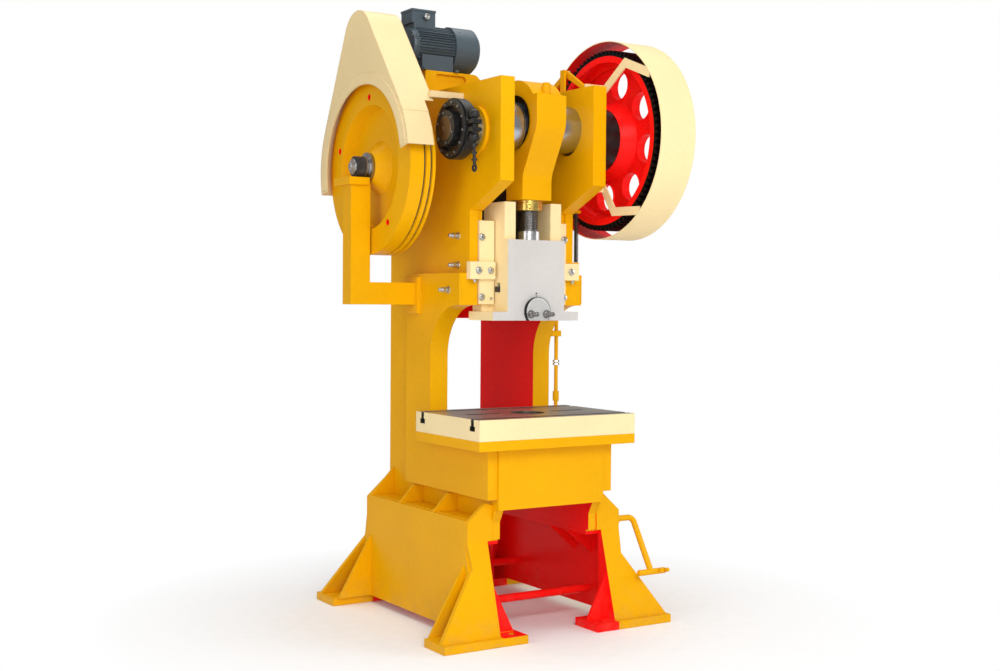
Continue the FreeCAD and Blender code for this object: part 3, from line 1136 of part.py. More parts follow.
formed(pedal(), "pedal_lever")
rod_foot = lever_top + S.part_gap
rod_top = S.latch_rear_z - S.latch_toe / 2 - S.part_gap
ring_start = S.side_x
finish_piece(tube_bar(ring_start, S.bearing_long, (0, S.pedal_y, S.pedal_z), S.pedal_rad + S.run_gap,
                      S.pedal_rad + S.bearing_wall), "pedal_bearing")
spring_arm = block(S.spring_x - S.spring_arm_half, S.spring_y - S.spring_arm_half, S.spring_top, S.pull_x,
                   S.pull_y, S.spring_top + S.spring_arm_tall)
sleeve = S.pull_rad + S.sleeve_past
finish_piece(fused([round_bar((S.pull_x, S.pull_y, rod_foot), "Z", S.pull_rad, rod_top - rod_foot),
                    round_bar((S.pull_x, S.pull_y, rod_foot), "Z", sleeve, S.clevis_tall),
                    round_bar((S.pull_x, S.pull_y, S.sleeve_low), "Z", sleeve, S.clevis_tall),
                    spring_arm]), "pull_rod")
coil = round_bar((S.spring_x, S.spring_y, S.spring_low), "Z", S.coil_rad, S.spring_top - S.spring_low)
finish_piece(coil, "return_spring")
lug = block(plate_out, S.spring_y - S.lug_half, S.spring_low - S.spring_arm_tall, S.spring_x + S.pin_out,
            S.spring_y + S.lug_half, S.spring_low)
guide_hole = round_bar((S.pull_x, S.pull_y, S.rod_guide_z), "Z", S.pull_rad + S.part_gap, S.rod_guide_tall)
guide_block = block(doubler_out, S.pull_y - S.guide_half, S.rod_guide_z, S.pull_x + S.guide_past,
                    S.pull_y + S.guide_half, S.rod_guide_z + S.rod_guide_tall)
linkage_brackets = [lug, less(guide_block, [guide_hole])]


def latch_lever():
    """Pointed lever over the clutch sleeve, on a pin beside the cheek's top."""
    y, z = pair(S.latch_y, S.latch_z)
    toe_y, toe_z = pair(S.pull_y - S.toe_deep / 2, S.latch_rear_z - S.latch_toe / 2)
    rear, rear_z = pair(S.pull_y + S.toe_deep / 2, S.latch_rear_z)
    tip, tip_z = pair(S.latch_tip_y, S.latch_tip_z)
    half, tail, left, wide = num(S.latch_half), num(S.tail_half), num(S.latch_x), num(S.latch_wide)
    points = [(rear, rear_z - tail), (rear, rear_z + tail), (y, z + half), (tip, tip_z),
              (tip + num(S.nose_in), tip_z - num(S.nose_drop)), (y, z - half)]
    bar = prism("YZ", points, left, wide)
    toe = Part.makeBox(num(S.pull_x + S.latch_toe - S.latch_x), num(S.toe_deep), num(S.latch_toe),
                       V(left, toe_y, toe_z))
    hole = Part.makeCylinder(num(S.bolt_rad + S.run_gap), 3 * wide, V(left - wide, y, z), V(1, 0, 0))
    return bar.fuse(toe).removeSplitter().cut(hole)


formed(latch_lever(), "latch_lever")
latch_plate = block(plate_out, S.latch_y - S.latch_half, S.head_top - S.latch_plate_drop,
                    plate_out + S.latch_plate_thick, S.latch_y + S.latch_half, S.latch_z + S.latch_half)
pin_end = S.latch_x + S.latch_wide + S.pin_out
pin = round_bar((plate_out, S.latch_y, S.latch_z), "X", S.bolt_rad, pin_end - plate_out)
linkage_brackets.append(fused([latch_plate, pin]))
finish_piece(group(linkage_brackets, "linkage_brackets"), "linkage_brackets")


# ---- check every object and write each piece ----------------------------------------------------

DOC.recompute()
for thing in DOC.Objects:
    if "Invalid" in thing.State or "Error" in thing.State:
        raise RuntimeError(f"{thing.Name} ({thing.Label}) did not build: {thing.State}")
os.makedirs("parts", exist_ok=True)
for piece in PIECES:
    shape = piece.Shape
    if shape.isNull() or not shape.isValid() or shape.Volume <= 0:
        raise RuntimeError(f"{piece.Label} has no valid solid")
    shape.exportStep(f"parts/{piece.Label}.step")
print(len(PIECES), "pieces")
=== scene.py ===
import bmesh
import bpy
import math
from mathutils import Matrix, Vector


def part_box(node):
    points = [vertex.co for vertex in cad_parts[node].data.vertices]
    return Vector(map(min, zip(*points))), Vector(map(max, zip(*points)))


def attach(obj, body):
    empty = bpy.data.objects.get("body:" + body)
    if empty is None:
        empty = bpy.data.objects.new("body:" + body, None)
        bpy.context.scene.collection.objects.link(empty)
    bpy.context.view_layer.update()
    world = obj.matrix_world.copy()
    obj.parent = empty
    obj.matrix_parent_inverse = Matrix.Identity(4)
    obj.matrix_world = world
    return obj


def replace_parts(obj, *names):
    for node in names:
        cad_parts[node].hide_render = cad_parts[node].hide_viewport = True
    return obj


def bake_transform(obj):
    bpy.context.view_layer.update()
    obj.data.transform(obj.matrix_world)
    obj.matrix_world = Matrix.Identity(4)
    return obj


# Looks for the stamping press: paint, steel and the small parts that the solids leave plain.
# Metres, in the part's own frame: +X to the viewer's right, +Y to the back, +Z up.

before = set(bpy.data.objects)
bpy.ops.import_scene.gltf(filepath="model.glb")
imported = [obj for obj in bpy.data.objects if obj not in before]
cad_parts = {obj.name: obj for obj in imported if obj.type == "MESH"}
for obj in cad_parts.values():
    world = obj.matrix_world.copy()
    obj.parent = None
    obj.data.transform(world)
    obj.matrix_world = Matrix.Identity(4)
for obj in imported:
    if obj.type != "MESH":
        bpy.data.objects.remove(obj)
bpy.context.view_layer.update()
MM = 0.001
FULL = 2 * math.pi
AXES = {"X": Vector((1, 0, 0)), "Y": Vector((0, 1, 0)), "Z": Vector((0, 0, 1))}


def low(node):
    return Vector(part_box(node)[0])


def high(node):
    return Vector(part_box(node)[1])


def middle(node):
    start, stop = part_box(node)
    return (Vector(start) + Vector(stop)) / 2


CRANK = middle("crank_bushes")
LAY = middle("layshaft_bushes")
MOTOR = middle("motor_pulley")
BOLSTER_TOP = high("bolster_plate").z
PLATE_IN = high("back_plates").x
# The clamp block's disc, the inner side of the stands' legs, and the top of their feet.
CLAMP = Vector((0.0, 0.0, 1.227))
LEG_IN = 0.262
FOOT_TOP = 0.032

YELLOW = (0.79, 0.385, 0.001)
CREAM = (0.88, 0.70, 0.38)
RED = (0.98, 0.008, 0.006)
GREY = (0.56, 0.535, 0.51)
BLACK = (0.006, 0.006, 0.006)
STEEL = (0.56, 0.555, 0.545)
BRASS = (0.74, 0.52, 0.13)
# The belt guard's cream is CREAM darkened as painted shade, against the strong light on the guard's face.
SHADED_GUARD_CREAM = (0.80, 0.62, 0.33)
MOTOR_BLUE = (0.068, 0.094, 0.112)
RUST = (0.16, 0.06, 0.02)
DUST = (0.30, 0.22, 0.13)
WORN_CREAM = (0.55, 0.42, 0.25)

# ---- materials ----------------------------------------------------------------------------------


class Look:
    """One procedural material, built a node at a time."""

    def __init__(self, name):
        self.material = bpy.data.materials.new(name)
        self.material.use_nodes = True
        self.nodes = self.material.node_tree.nodes
        self.links = self.material.node_tree.links
        self.shader = self.nodes["Principled BSDF"]
        where = self.add("ShaderNodeTexCoord")
        self.place = where.outputs["Object"]
        self.xyz = self.add("ShaderNodeSeparateXYZ", Vector=self.place).outputs
        self.facing = self.add("ShaderNodeSeparateXYZ", Vector=where.outputs["Normal"]).outputs

    def add(self, kind, **inputs):
        node = self.nodes.new(kind)
        for name, value in inputs.items():
            self.put(node.inputs[name.replace("_", " ")], value)
        return node

    def put(self, socket, value):
        if isinstance(value, bpy.types.NodeSocket):
            self.links.new(value, socket)
        elif isinstance(value, tuple) and len(value) == 3 and len(socket.default_value) == 4:
            socket.default_value = value + (1,)
        else:
            socket.default_value = value

    def sums(self, operation, first, second=0.0, third=0.0):
        node = self.nodes.new("ShaderNodeMath")
        node.operation = operation
        for socket, value in zip(node.inputs, (first, second, third)):
            self.put(socket, value)
        return node.outputs[0]

    def times(self, first, second):
        return self.sums("MULTIPLY", first, second)

    def either(self, first, second):
        return self.sums("MAXIMUM", first, second)

    def size(self, value):
        return self.sums("ABSOLUTE", value)

    def over(self, value, limit):
        return self.sums("GREATER_THAN", value, limit)

    def under(self, value, limit):
        return self.sums("LESS_THAN", value, limit)

    def noise(self, scale, detail=3.0, place=None):
        node = self.add("ShaderNodeTexNoise", Vector=place or self.place, Scale=scale, Detail=detail)
        return node.outputs["Fac"]

    def spread(self, value, start, stop, first=0.0, last=1.0):
        """A value mapped from one range to another, and held at its ends."""
        node = self.nodes.new("ShaderNodeMapRange")
        node.clamp = True
        for socket, number in zip(node.inputs, (value, start, stop, first, last)):
            self.put(socket, number)
        return node.outputs[0]

    def mix(self, share, first, second):
        node = self.nodes.new("ShaderNodeMix")
        node.data_type = "RGBA"
        self.put(node.inputs[0], share)
        self.put(node.inputs[6], first)
        self.put(node.inputs[7], second)
        return node.outputs[2]

    def stretched(self, along, across_scale, along_scale):
        """Object coordinates drawn out along one axis, for brushed or rolled grain."""
        scale = [across_scale] * 3
        scale["XYZ".index(along)] = along_scale
        return self.add("ShaderNodeMapping", Vector=self.place, Scale=tuple(scale)).outputs["Vector"]

    def radius(self, axis, centre):
        """Distance from a line along an axis through centre."""
        squares = []
        for i, letter in enumerate("XYZ"):
            if letter != axis:
                away = self.sums("SUBTRACT", self.xyz[i], centre[i])
                squares.append(self.times(away, away))
        return self.sums("SQRT", self.sums("ADD", *squares))

    def rounded(self, radius):
        """Normals that round each sharp edge, and how near a sharp edge a point is."""
        bevel = self.nodes.new("ShaderNodeBevel")
        bevel.samples = 4
        self.put(bevel.inputs["Radius"], radius)
        dot = self.nodes.new("ShaderNodeVectorMath")
        dot.operation = "DOT_PRODUCT"
        self.put(dot.inputs[0], bevel.outputs[0])
        self.put(dot.inputs[1], self.add("ShaderNodeNewGeometry").outputs["Normal"])
        return bevel.outputs[0], self.spread(dot.outputs["Value"], 0.995, 0.86)

    def finish(self, colour, rough, metal, height, strength, normal=None, coat=0.0, gloss=0.5):
        bump = self.add("ShaderNodeBump", Strength=strength, Distance=MM, Height=height)
        if normal is not None:
            self.put(bump.inputs["Normal"], normal)
        self.put(self.shader.inputs["Base Color"], colour)
        self.put(self.shader.inputs["Roughness"], rough)
        self.put(self.shader.inputs["Metallic"], metal)
        self.put(self.shader.inputs["Normal"], bump.outputs[0])
        self.put(self.shader.inputs["Specular IOR Level"], gloss)
        self.put(self.shader.inputs["Coat Weight"], coat)
        self.put(self.shader.inputs["Coat Roughness"], 0.18)
        return self.material


def scaled(colour, share):
    return tuple(c * share for c in colour)


def brighter(colour, share, more=0.0):
    return tuple(min(1.0, c * share + more) for c in colour)


def tinted(look, colour, depth=0.06):
    """A colour with broad and fine mottling."""
    broad = look.noise(3.5, 2.0)
    fine = look.noise(60.0, 4.0)
    both = look.sums("ADD", look.times(broad, 0.7), look.times(fine, 0.3))
    dark, light = scaled(colour, 1 - depth), brighter(colour, 1 + depth * 0.5)
    return look.mix(look.spread(both, 0.35, 0.65), dark, light)


def paint(name, colour, second=None, where=None, rough=0.33, edge=2.2 * MM, chip=RUST, peel=0.16, gloss=0.09):
    """Sprayed enamel: orange peel, soft mottling, rubbed edges and dust near the floor."""
    look = Look(name)
    shade = tinted(look, colour)
    if second is not None:
        shade = look.mix(where(look), shade, tinted(look, second))
    normal, near_edge = look.rounded(edge)
    patchy = look.spread(look.noise(90.0, 5.0), 0.56, 0.68)
    chip_share, dust_share, dust_height = 0.20, 0.18, 0.16
    shade = look.mix(look.times(look.times(near_edge, patchy), chip_share), shade, chip)
    low_down = look.spread(look.xyz[2], dust_height, 0.0)
    cloudy = look.spread(look.noise(22.0, 5.0), 0.42, 0.7)
    shade = look.mix(look.times(look.times(low_down, cloudy), dust_share), shade, DUST)
    dull = look.spread(look.noise(34.0, 4.0), 0.3, 0.7, rough - 0.06, rough + 0.10)
    peeled = look.sums("ADD", look.times(look.noise(420.0, 1.0), 0.6), look.times(look.noise(70.0, 2.0), 0.9))
    return look.finish(shade, dull, 0.0, peeled, peel, normal, coat=0.03, gloss=gloss)


def metal(name, colour, rough=0.28, axis=None, centre=None, stain=0.30, dark=None, bare=1.0):
    """Bare or blackened steel with tool marks: rings round an axis, or straight grain along X.

    dark is a mask of what is black: painted dark reflections on the crank, a dark joint round the clamp's
    disc; bare is the metallic share.
    """
    look = Look(name)
    if axis:
        ring = look.radius(axis, centre)
        along = look.xyz["XYZ".index(axis)]
        place = look.add("ShaderNodeCombineXYZ", X=ring, Y=along, Z=0.0).outputs[0]
        marks = look.noise(900.0, 2.0, place)
    else:
        marks = look.noise(1.0, 3.0, look.stretched("X", 900.0, 14.0))
    stains = look.noise(28.0, 5.0)
    shade = look.mix(look.spread(marks, 0.3, 0.7), scaled(colour, 0.82), colour)
    shade = look.mix(look.times(look.spread(stains, 0.55, 0.75), stain), shade, scaled(colour, 0.45))
    normal, near_edge = look.rounded(0.8 * MM)
    shade = look.mix(look.times(near_edge, 0.5), shade, brighter(colour, 1.25, 0.08))
    if dark is not None:
        shade = look.mix(dark(look), shade, BLACK)
    blotch = min(1.0, stain / 0.3)
    uneven = look.sums("ADD", marks, look.sums("MULTIPLY_ADD", stains, blotch, 0.5 * (1 - blotch)))
    dull = look.spread(uneven, 0.7, 1.3, rough - 0.06, rough + 0.12)
    return look.finish(shade, dull, bare, marks, 0.12, normal)


def crank_painted_reflections(look):
    """The crank webs' edges beside the rod, painted black as dark reflections."""
    web_near, reflection_band_near, reflection_band_far = 0.076, 0.083, 0.0855
    across = look.size(look.xyz[0])
    reflection_band = look.times(look.over(across, reflection_band_near), look.under(across, reflection_band_far))
    return look.either(look.under(across, web_near), reflection_band)


def clamp_rim(look):
    """The dark joint round the clamp block's disc."""
    disc = 0.0540
    return look.over(look.radius("Y", CLAMP), disc)


def rubber(name):
    look = Look(name)
    worn = look.spread(look.noise(40.0, 4.0), 0.4, 0.7)
    shade = look.mix(worn, (0.014, 0.014, 0.014), (0.045, 0.042, 0.040))
    normal, near_edge = look.rounded(1.0 * MM)
    shade = look.mix(look.times(near_edge, 0.4), shade, (0.07, 0.065, 0.06))
    dull = look.spread(look.noise(90.0), 0.3, 0.7, 0.55, 0.75)
    return look.finish(shade, dull, 0.0, look.noise(500.0), 0.2, normal)


def black_paint(name, rough=0.30):
    """Thick black enamel over a casting, with bare spots along the edges."""
    look = Look(name)
    normal, near_edge = look.rounded(1.6 * MM)
    shade = look.mix(look.spread(look.noise(30.0, 4.0), 0.35, 0.7), BLACK, (0.016, 0.015, 0.014))
    rubbed = look.times(near_edge, look.spread(look.noise(130.0, 4.0), 0.5, 0.62))
    shade = look.mix(look.times(rubbed, 0.55), shade, STEEL)
    dull = look.spread(look.noise(60.0, 4.0), 0.3, 0.7, rough - 0.05, rough + 0.16)
    height = look.sums("ADD", look.noise(240.0, 3.0), look.times(look.noise(40.0), 0.8))
    return look.finish(shade, dull, look.times(rubbed, 0.8), height, 0.30, normal, coat=0.05, gloss=0.30)


def inward(look, face=0.6):
    """Faces that look towards the press's middle plane."""
    side = look.sums("SIGN", look.xyz[0])
    return look.under(look.times(side, look.facing[0]), -face)


def throat_faces(look):
    """The inner faces of the uprights below the jaw."""
    below = look.under(look.xyz[2], low("gibs").z - 2 * MM)
    return look.times(look.times(inward(look), below), look.under(look.size(look.xyz[0]), PLATE_IN + MM))


def stand_faces(look):
    """All that shows between the stands: their inner walls, webs and the legs' inner sides."""
    x, y, z = look.xyz
    shelf, above_foot = high("right_stand").z, FOOT_TOP + 0.5 * MM
    within = look.under(look.size(x), high("tie_bars").x + 2 * MM)
    front = look.over(y, low("right_stand").y + 0.16)
    below = look.under(z, low("left_side_frame").z + MM)
    hidden = look.times(look.times(within, front), below)
    shown = look.times(look.over(z, FOOT_TOP), look.under(z, shelf - 0.13))
    past_leg = look.under(look.size(x), LEG_IN + 0.5 * MM)
    raised = look.times(look.over(z, above_foot), look.under(z, shelf - 0.20))
    unseen = look.either(look.over(look.facing[1], -0.5), look.over(x, 0.0))
    flat = look.times(look.under(z, above_foot), unseen)
    inner = look.times(past_leg, look.either(raised, flat))
    seen = look.either(look.times(inward(look, 0.5), shown), hidden)
    return look.either(seen, inner)


def looks_back(look):
    return look.over(look.facing[1], 0.5)


def looks_forward(look):
    return look.under(look.facing[1], -0.5)


def guard_inside(look):
    """The gear guard's inner wall, seen from its open side."""
    ring = look.radius("X", CRANK)
    outer = (high("gear_guard").z - low("gear_guard").z) / 2
    return look.times(look.under(ring, outer - 1.5 * MM), look.under(look.size(look.facing[0]), 0.5))


def belt_guard_inside(look):
    """The belt guard's inner wall and the back of its face plate."""
    return look.over(look.facing[0], 0.5)


def slide_face(look):
    """The ground front of the ram and of its flange."""
    front = low("slide").y + MM
    return look.times(look.under(look.xyz[1], front), looks_forward(look))


def gear_teeth(look):
    ring = look.radius("X", CRANK)
    outer = (high("big_gear").z - low("big_gear").z) / 2
    return look.over(ring, outer - 22 * MM)


def bolster_finish():
    """Cream sides, machined top with cutter marks, and slots painted dark as their shade."""
    look = Look("bolster_cream_and_steel")
    centre, edge = middle("bolster_plate"), high("bolster_plate")
    top = look.times(look.over(look.facing[2], 0.5), look.over(look.xyz[2], BOLSTER_TOP - MM))
    side = look.over(look.either(look.size(look.facing[0]), look.size(look.facing[1])), 0.5)
    outer_x = look.over(look.size(look.xyz[0]), edge.x - MM)
    outer_y = look.over(look.size(look.sums("SUBTRACT", look.xyz[1], centre.y)), edge.y - centre.y - MM)
    painted = look.times(side, look.either(outer_x, outer_y))
    cutter = look.noise(1.0, 3.0, look.stretched("X", 320.0, 5.0))
    smear = look.noise(7.0, 4.0)
    steel = look.mix(look.spread(cutter, 0.3, 0.7), (0.36, 0.325, 0.28), (0.56, 0.52, 0.47))
    steel = look.mix(look.times(look.spread(smear, 0.45, 0.7), 0.4), steel, (0.10, 0.08, 0.06))
    # Painted shade: every bare face but the top, the slots' walls and floors among them, darkened almost to
    # black.
    dark = look.mix(0.25, (0.03, 0.028, 0.026), steel)
    bare = look.mix(top, dark, steel)
    normal, near_edge = look.rounded(1.2 * MM)
    cream = look.mix(look.times(near_edge, 0.25), tinted(look, CREAM), (0.45, 0.36, 0.24))
    shade = look.mix(painted, bare, cream)
    metallic = look.spread(painted, 0.0, 1.0, 0.85, 0.0)
    dull = look.spread(cutter, 0.3, 0.7, 0.30, 0.46)
    return look.finish(shade, dull, metallic, cutter, 0.15, normal)


YELLOW_PAINT = paint("yellow_enamel", YELLOW)
CREAM_PAINT = paint("cream_enamel", CREAM, chip=WORN_CREAM)
RED_PAINT = paint("red_enamel", RED, chip=(0.16, 0.01, 0.01), rough=0.30)
FRAME_PAINT = paint("yellow_with_red_throat", YELLOW, RED, throat_faces)
STAND_PAINT = paint("yellow_with_red_inside", YELLOW, RED, stand_faces)
PANEL_PAINT = paint("yellow_with_red_back", YELLOW, RED, looks_back)
BACK_PAINT = paint("yellow_with_red_front", YELLOW, RED, looks_forward)
HEAD_PAINT = paint("yellow_with_dark_front", YELLOW, (0.030, 0.022, 0.018), looks_forward)
SLIDE_PAINT = paint("cream_with_grey_face", CREAM, GREY, slide_face, rough=0.38, chip=STEEL)
GEAR_PAINT = paint("red_with_black_teeth", RED, BLACK, gear_teeth, chip=(0.2, 0.02, 0.015), rough=0.30)
GEAR_GUARD_PAINT = paint("cream_with_red_inside", CREAM, RED, guard_inside, chip=WORN_CREAM)
# The belt guard and its trim take the darker copy of the cream: painted shade.
BELT_GUARD_PAINT = paint("shaded_cream_guard_red_back", SHADED_GUARD_CREAM, RED, belt_guard_inside, chip=WORN_CREAM,
                         edge=5 * MM)
GUARD_TRIM = paint("shaded_cream_guard_trim", SHADED_GUARD_CREAM, chip=WORN_CREAM)
MOTOR_PAINT = paint("motor_enamel", MOTOR_BLUE, rough=0.34, chip=(0.05, 0.06, 0.07), peel=0.3, edge=1.4 * MM,
                    gloss=0.32)
BOLSTER_LOOK = bolster_finish()
BLACK_PAINT = black_paint("black_enamel")
# Painted shade: a rough black that stands for the shade inside small recesses.
PAINTED_RECESS_SHADE = black_paint("painted_recess_shade", rough=0.6)
RUBBER = rubber("black_rubber")
ZINC = metal("zinc_plated_steel", (0.60, 0.60, 0.58), rough=0.24)
# The crank's black bands beside the rod are painted dark reflections.
CRANK_STEEL = metal("turned_crank_steel", (0.50, 0.56, 0.64), rough=0.20, axis="X", centre=CRANK, stain=0.0,
                    dark=crank_painted_reflections)
LAY_STEEL = metal("turned_shaft_steel", (0.46, 0.45, 0.44), rough=0.26, axis="X", centre=LAY, stain=0.15)
RAM_STEEL = metal("turned_ram_steel", (0.60, 0.605, 0.61), rough=0.22, axis="Z", centre=CRANK)
CLAMP_STEEL = metal("faced_clamp_steel", (0.80, 0.79, 0.77), rough=0.30, axis="Y", centre=CLAMP, stain=0.06,
                    dark=clamp_rim, bare=0.6)
SCREW_STEEL = metal("oiled_screw_steel", (0.25, 0.24, 0.23), rough=0.28, axis="Z", centre=CRANK, stain=0.15)
BRONZE = metal("bronze", (0.50, 0.33, 0.12), rough=0.32, axis="X", centre=CRANK)
BRASS_RING = metal("brassy_ring", BRASS, rough=0.24, axis="Z", centre=CRANK, stain=0.0)
DARK_BOLT = metal("blackened_screws", (0.26, 0.255, 0.25), rough=0.30)
SPRING_STEEL = metal("spring_steel", (0.11, 0.10, 0.09), rough=0.38)
SHAFT_END = metal("oiled_shaft_end", (0.16, 0.10, 0.06), rough=0.35, axis="X", centre=CRANK)

LOOKS = (
    (FRAME_PAINT, ("left_side_frame", "right_side_frame")),
    (STAND_PAINT, ("left_stand", "right_stand")),
    (PANEL_PAINT, ("bed_panels",)),
    (BACK_PAINT, ("back_plates",)),
    (HEAD_PAINT, ("head_plates",)),
    (YELLOW_PAINT, ("table_flange_plate", "bearing_housings", "connecting_rod", "motor_base", "flywheel",
                    "safety_bracket", "linkage_brackets", "pedal_bearing", "gear_end_cap", "pull_rod",
                    "pedal_lever", "latch_lever")),
    (RED_PAINT, ("tie_bars",)),
    (CREAM_PAINT, ("gibs", "knockout_stops", "gear_guard_bars")),
    (BELT_GUARD_PAINT, ("belt_guard",)),
    (GEAR_GUARD_PAINT, ("gear_guard",)),
    (GEAR_PAINT, ("big_gear",)),
    (SLIDE_PAINT, ("slide",)),
    (BOLSTER_LOOK, ("bolster_plate",)),
    (MOTOR_PAINT, ("motor_frame", "motor_end_shield", "fan_cowl", "terminal_box", "terminal_lid")),
    (BLACK_PAINT, ("brake_drum", "brake_band", "brake_spring_bolt", "brake_anchor", "clutch_sleeve", "pinion",
                   "knockout_bar")),
    (ZINC, ("guide_bolts", "shaft_nut", "clamp_studs")),
    (CRANK_STEEL, ("crankshaft",)),
    (LAY_STEEL, ("pinion_shaft", "motor_shaft", "motor_pulley", "shaft_spool")),
    (RAM_STEEL, ("ball_retainer", "ball_seat")),
    (CLAMP_STEEL, ("die_clamp_block",)),
    (SCREW_STEEL, ("ball_screw", "return_spring")),
    (BRONZE, ("crank_bushes", "layshaft_bushes", "rod_bush", "gear_bush")),
    (BRASS_RING, ("lock_ring",)),
    (RUBBER, ("drive_belts", "support_roller")),
)

for material, names in LOOKS:
    for name in names:
        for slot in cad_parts[name].material_slots:
            slot.material = material

# ---- mesh helpers -------------------------------------------------------------------------------


def piece(name, mesh_data, material, body, smooth=35):
    """Put a bmesh in the scene as one piece that rides on a body."""
    mesh = bpy.data.meshes.new(name)
    bmesh.ops.recalc_face_normals(mesh_data, faces=mesh_data.faces)
    mesh_data.to_mesh(mesh)
    mesh_data.free()
    thing = bpy.data.objects.new(name, mesh)
    bpy.context.scene.collection.objects.link(thing)
    mesh.materials.append(material)
    mesh.shade_smooth()
    mesh.set_sharp_from_angle(angle=math.radians(smooth))
    if body:
        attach(thing, body)
    return thing


def apply_modifiers(thing):
    done = bpy.data.meshes.new_from_object(thing.evaluated_get(bpy.context.evaluated_depsgraph_get()))
    thing.modifiers.clear()
    thing.data = done


def at(x, y, z):
    """A place in millimetres from the crank and ram axis, as the solids have it."""
    return Vector((x * MM, CRANK.y + y * MM, z * MM))


def spot(line, x, reach, turn):
    """A point in millimetres on a circle round a line along X."""
    return Vector((x * MM, line.y + reach * MM * math.cos(turn), line.z + reach * MM * math.sin(turn)))


def stand_on(place, axis):
    """The turn and shift that take +Z at the origin to an axis at a place."""
    turn = Vector((0, 0, 1)).rotation_difference(Vector(axis))
    return Matrix.Translation(place) @ turn.to_matrix().to_4x4()


def facing_left(line, x, reach=0, turn=0):
    """A seat that looks to the viewer's left, on a circle round a line along X."""
    return stand_on(spot(line, x, reach, turn), -AXES["X"])


def facing_front(x, y, z):
    return stand_on(Vector((x, y, z)), -AXES["Y"])


def lifted(seat, height):
    return seat @ Matrix.Translation((0, 0, height))


def around(count, start=0):
    """Evenly spaced turns, from a start in degrees."""
    return [math.radians(start + 360 / count * k) for k in range(count)]


def circle(radius, steps):
    """The points of a circle as (cosine, sine) pairs times a radius."""
    return [(radius * math.cos(FULL * i / steps), radius * math.sin(FULL * i / steps)) for i in range(steps)]


def in_mm(outline):
    return [(radius * MM, level * MM) for radius, level in outline]


def grid(bm, rows):
    """Faces between rows of points; each row meets itself end to end."""
    made = [[bm.verts.new(point) for point in row] for row in rows]
    for first, second in zip(made, made[1:]):
        count = len(first)
        for i in range(count):
            j = (i + 1) % count
            bm.faces.new((first[i], first[j], second[j], second[i]))
    return made


def capped(bm, made):
    for row in (made[0], made[-1]):
        bm.faces.new(row)


def turning(bm, outline, matrix, steps=48, caps=True):
    """A turned solid: outline as (radius, height) pairs about +Z, placed by matrix."""
    made = grid(bm, [[matrix @ Vector((x, y, height)) for x, y in circle(radius, steps)]
                     for radius, height in outline])
    if caps:
        capped(bm, made)


def ring_turning(bm, outline, matrix, steps=48):
    """A turned ring: the outline closes on itself."""
    turning(bm, list(outline) + [outline[0]], matrix, steps, caps=False)


def hex_head(bm, matrix, across, tall, steps=36):
    """A hexagon head or nut whose top corners are turned off at thirty degrees."""
    side = math.radians(60)
    flat = across / 2 * 0.94
    rows = [[], [], []]
    for angle in [FULL * i / steps for i in range(steps)]:
        reach = across / 2 / math.cos((angle + side / 2) % side - side / 2)
        shoulder = tall - (reach - flat) * math.tan(math.radians(30))
        for row, radius, level in zip(rows, (reach, reach, flat), (0.0, shoulder, tall)):
            row.append(matrix @ Vector((radius * math.cos(angle), radius * math.sin(angle), level)))
    capped(bm, grid(bm, rows))


def socket_screw(bm, seat, radius, tall):
    """A cap screw with its hexagon socket."""
    socket, socket_floor = radius * 0.52, tall * 0.45
    outline = [(radius, 0), (radius, tall - 0.5 * MM), (radius - 0.6 * MM, tall), (socket, tall),
               (socket, socket_floor), (0.2 * MM, socket_floor)]
    turning(bm, outline, seat, 24)


def washer(bm, matrix, radius, thick, hole=0.0):
    rim = thick * 0.4
    outline = [(radius, 0), (radius, thick - rim), (radius - rim, thick), (max(hole, 0.4 * radius), thick)]
    turning(bm, outline, matrix, 32)


def thread(bm, matrix, radius, length, pitch, steps=20):
    """A real helical thread, with a chamfered end."""
    per_turn, deep = 4, 0.6
    count = int(length / pitch * per_turn)
    rows = []
    for k in range(count + 1):
        height = length * k / count
        end = max(0.0, height - length + pitch) * 0.8
        row = []
        for i in range(steps):
            phase, turn = (height / pitch - i / steps) % 1.0, FULL * i / steps
            reach = radius - abs(phase - 0.5) * 2 * deep * pitch - end
            row.append(matrix @ Vector((reach * math.cos(turn), reach * math.sin(turn), height)))
        rows.append(row)
    capped(bm, grid(bm, rows))


def tube(bm, points, radius, sides=12, closed=False):
    """A round bar along a line of points; radius may be one number or one for each point."""
    rows = []
    count = len(points)
    across = None
    for k, point in enumerate(points):
        before = points[k - 1] if k or closed else point
        after = points[(k + 1) % count] if k < count - 1 or closed else point
        along = (after - before).normalized()
        if across is None:
            across = along.orthogonal().normalized()
        across = (across - along * across.dot(along)).normalized()
        other = along.cross(across)
        size = radius[k] if isinstance(radius, (list, tuple)) else radius
        rows.append([point + (across * x + other * y) * size for x, y in circle(1, sides)])
    if closed:
        grid(bm, rows + [rows[0]])
        bmesh.ops.remove_doubles(bm, verts=bm.verts, dist=0.05 * MM)
    else:
        capped(bm, grid(bm, rows))


def bent(points, bend, steps=6):
    """A line of points with each inner corner rounded off at a radius."""
    line = [points[0]]
    for before, corner, after in zip(points, points[1:], points[2:]):
        into, out = (before - corner).normalized(), (after - corner).normalized()
        half = into.angle(out) / 2
        reach = bend / math.tan(half)
        start, stop = corner + into * reach, corner + out * reach
        centre = corner + (into + out).normalized() * (bend / math.sin(half))
        first, last = start - centre, stop - centre
        turn = first.angle(last)
        for k in range(steps + 1):
            share = k / steps
            sweep = first * math.sin((1 - share) * turn) + last * math.sin(share * turn)
            line.append(centre + sweep / math.sin(turn))
    return line + [points[-1]]


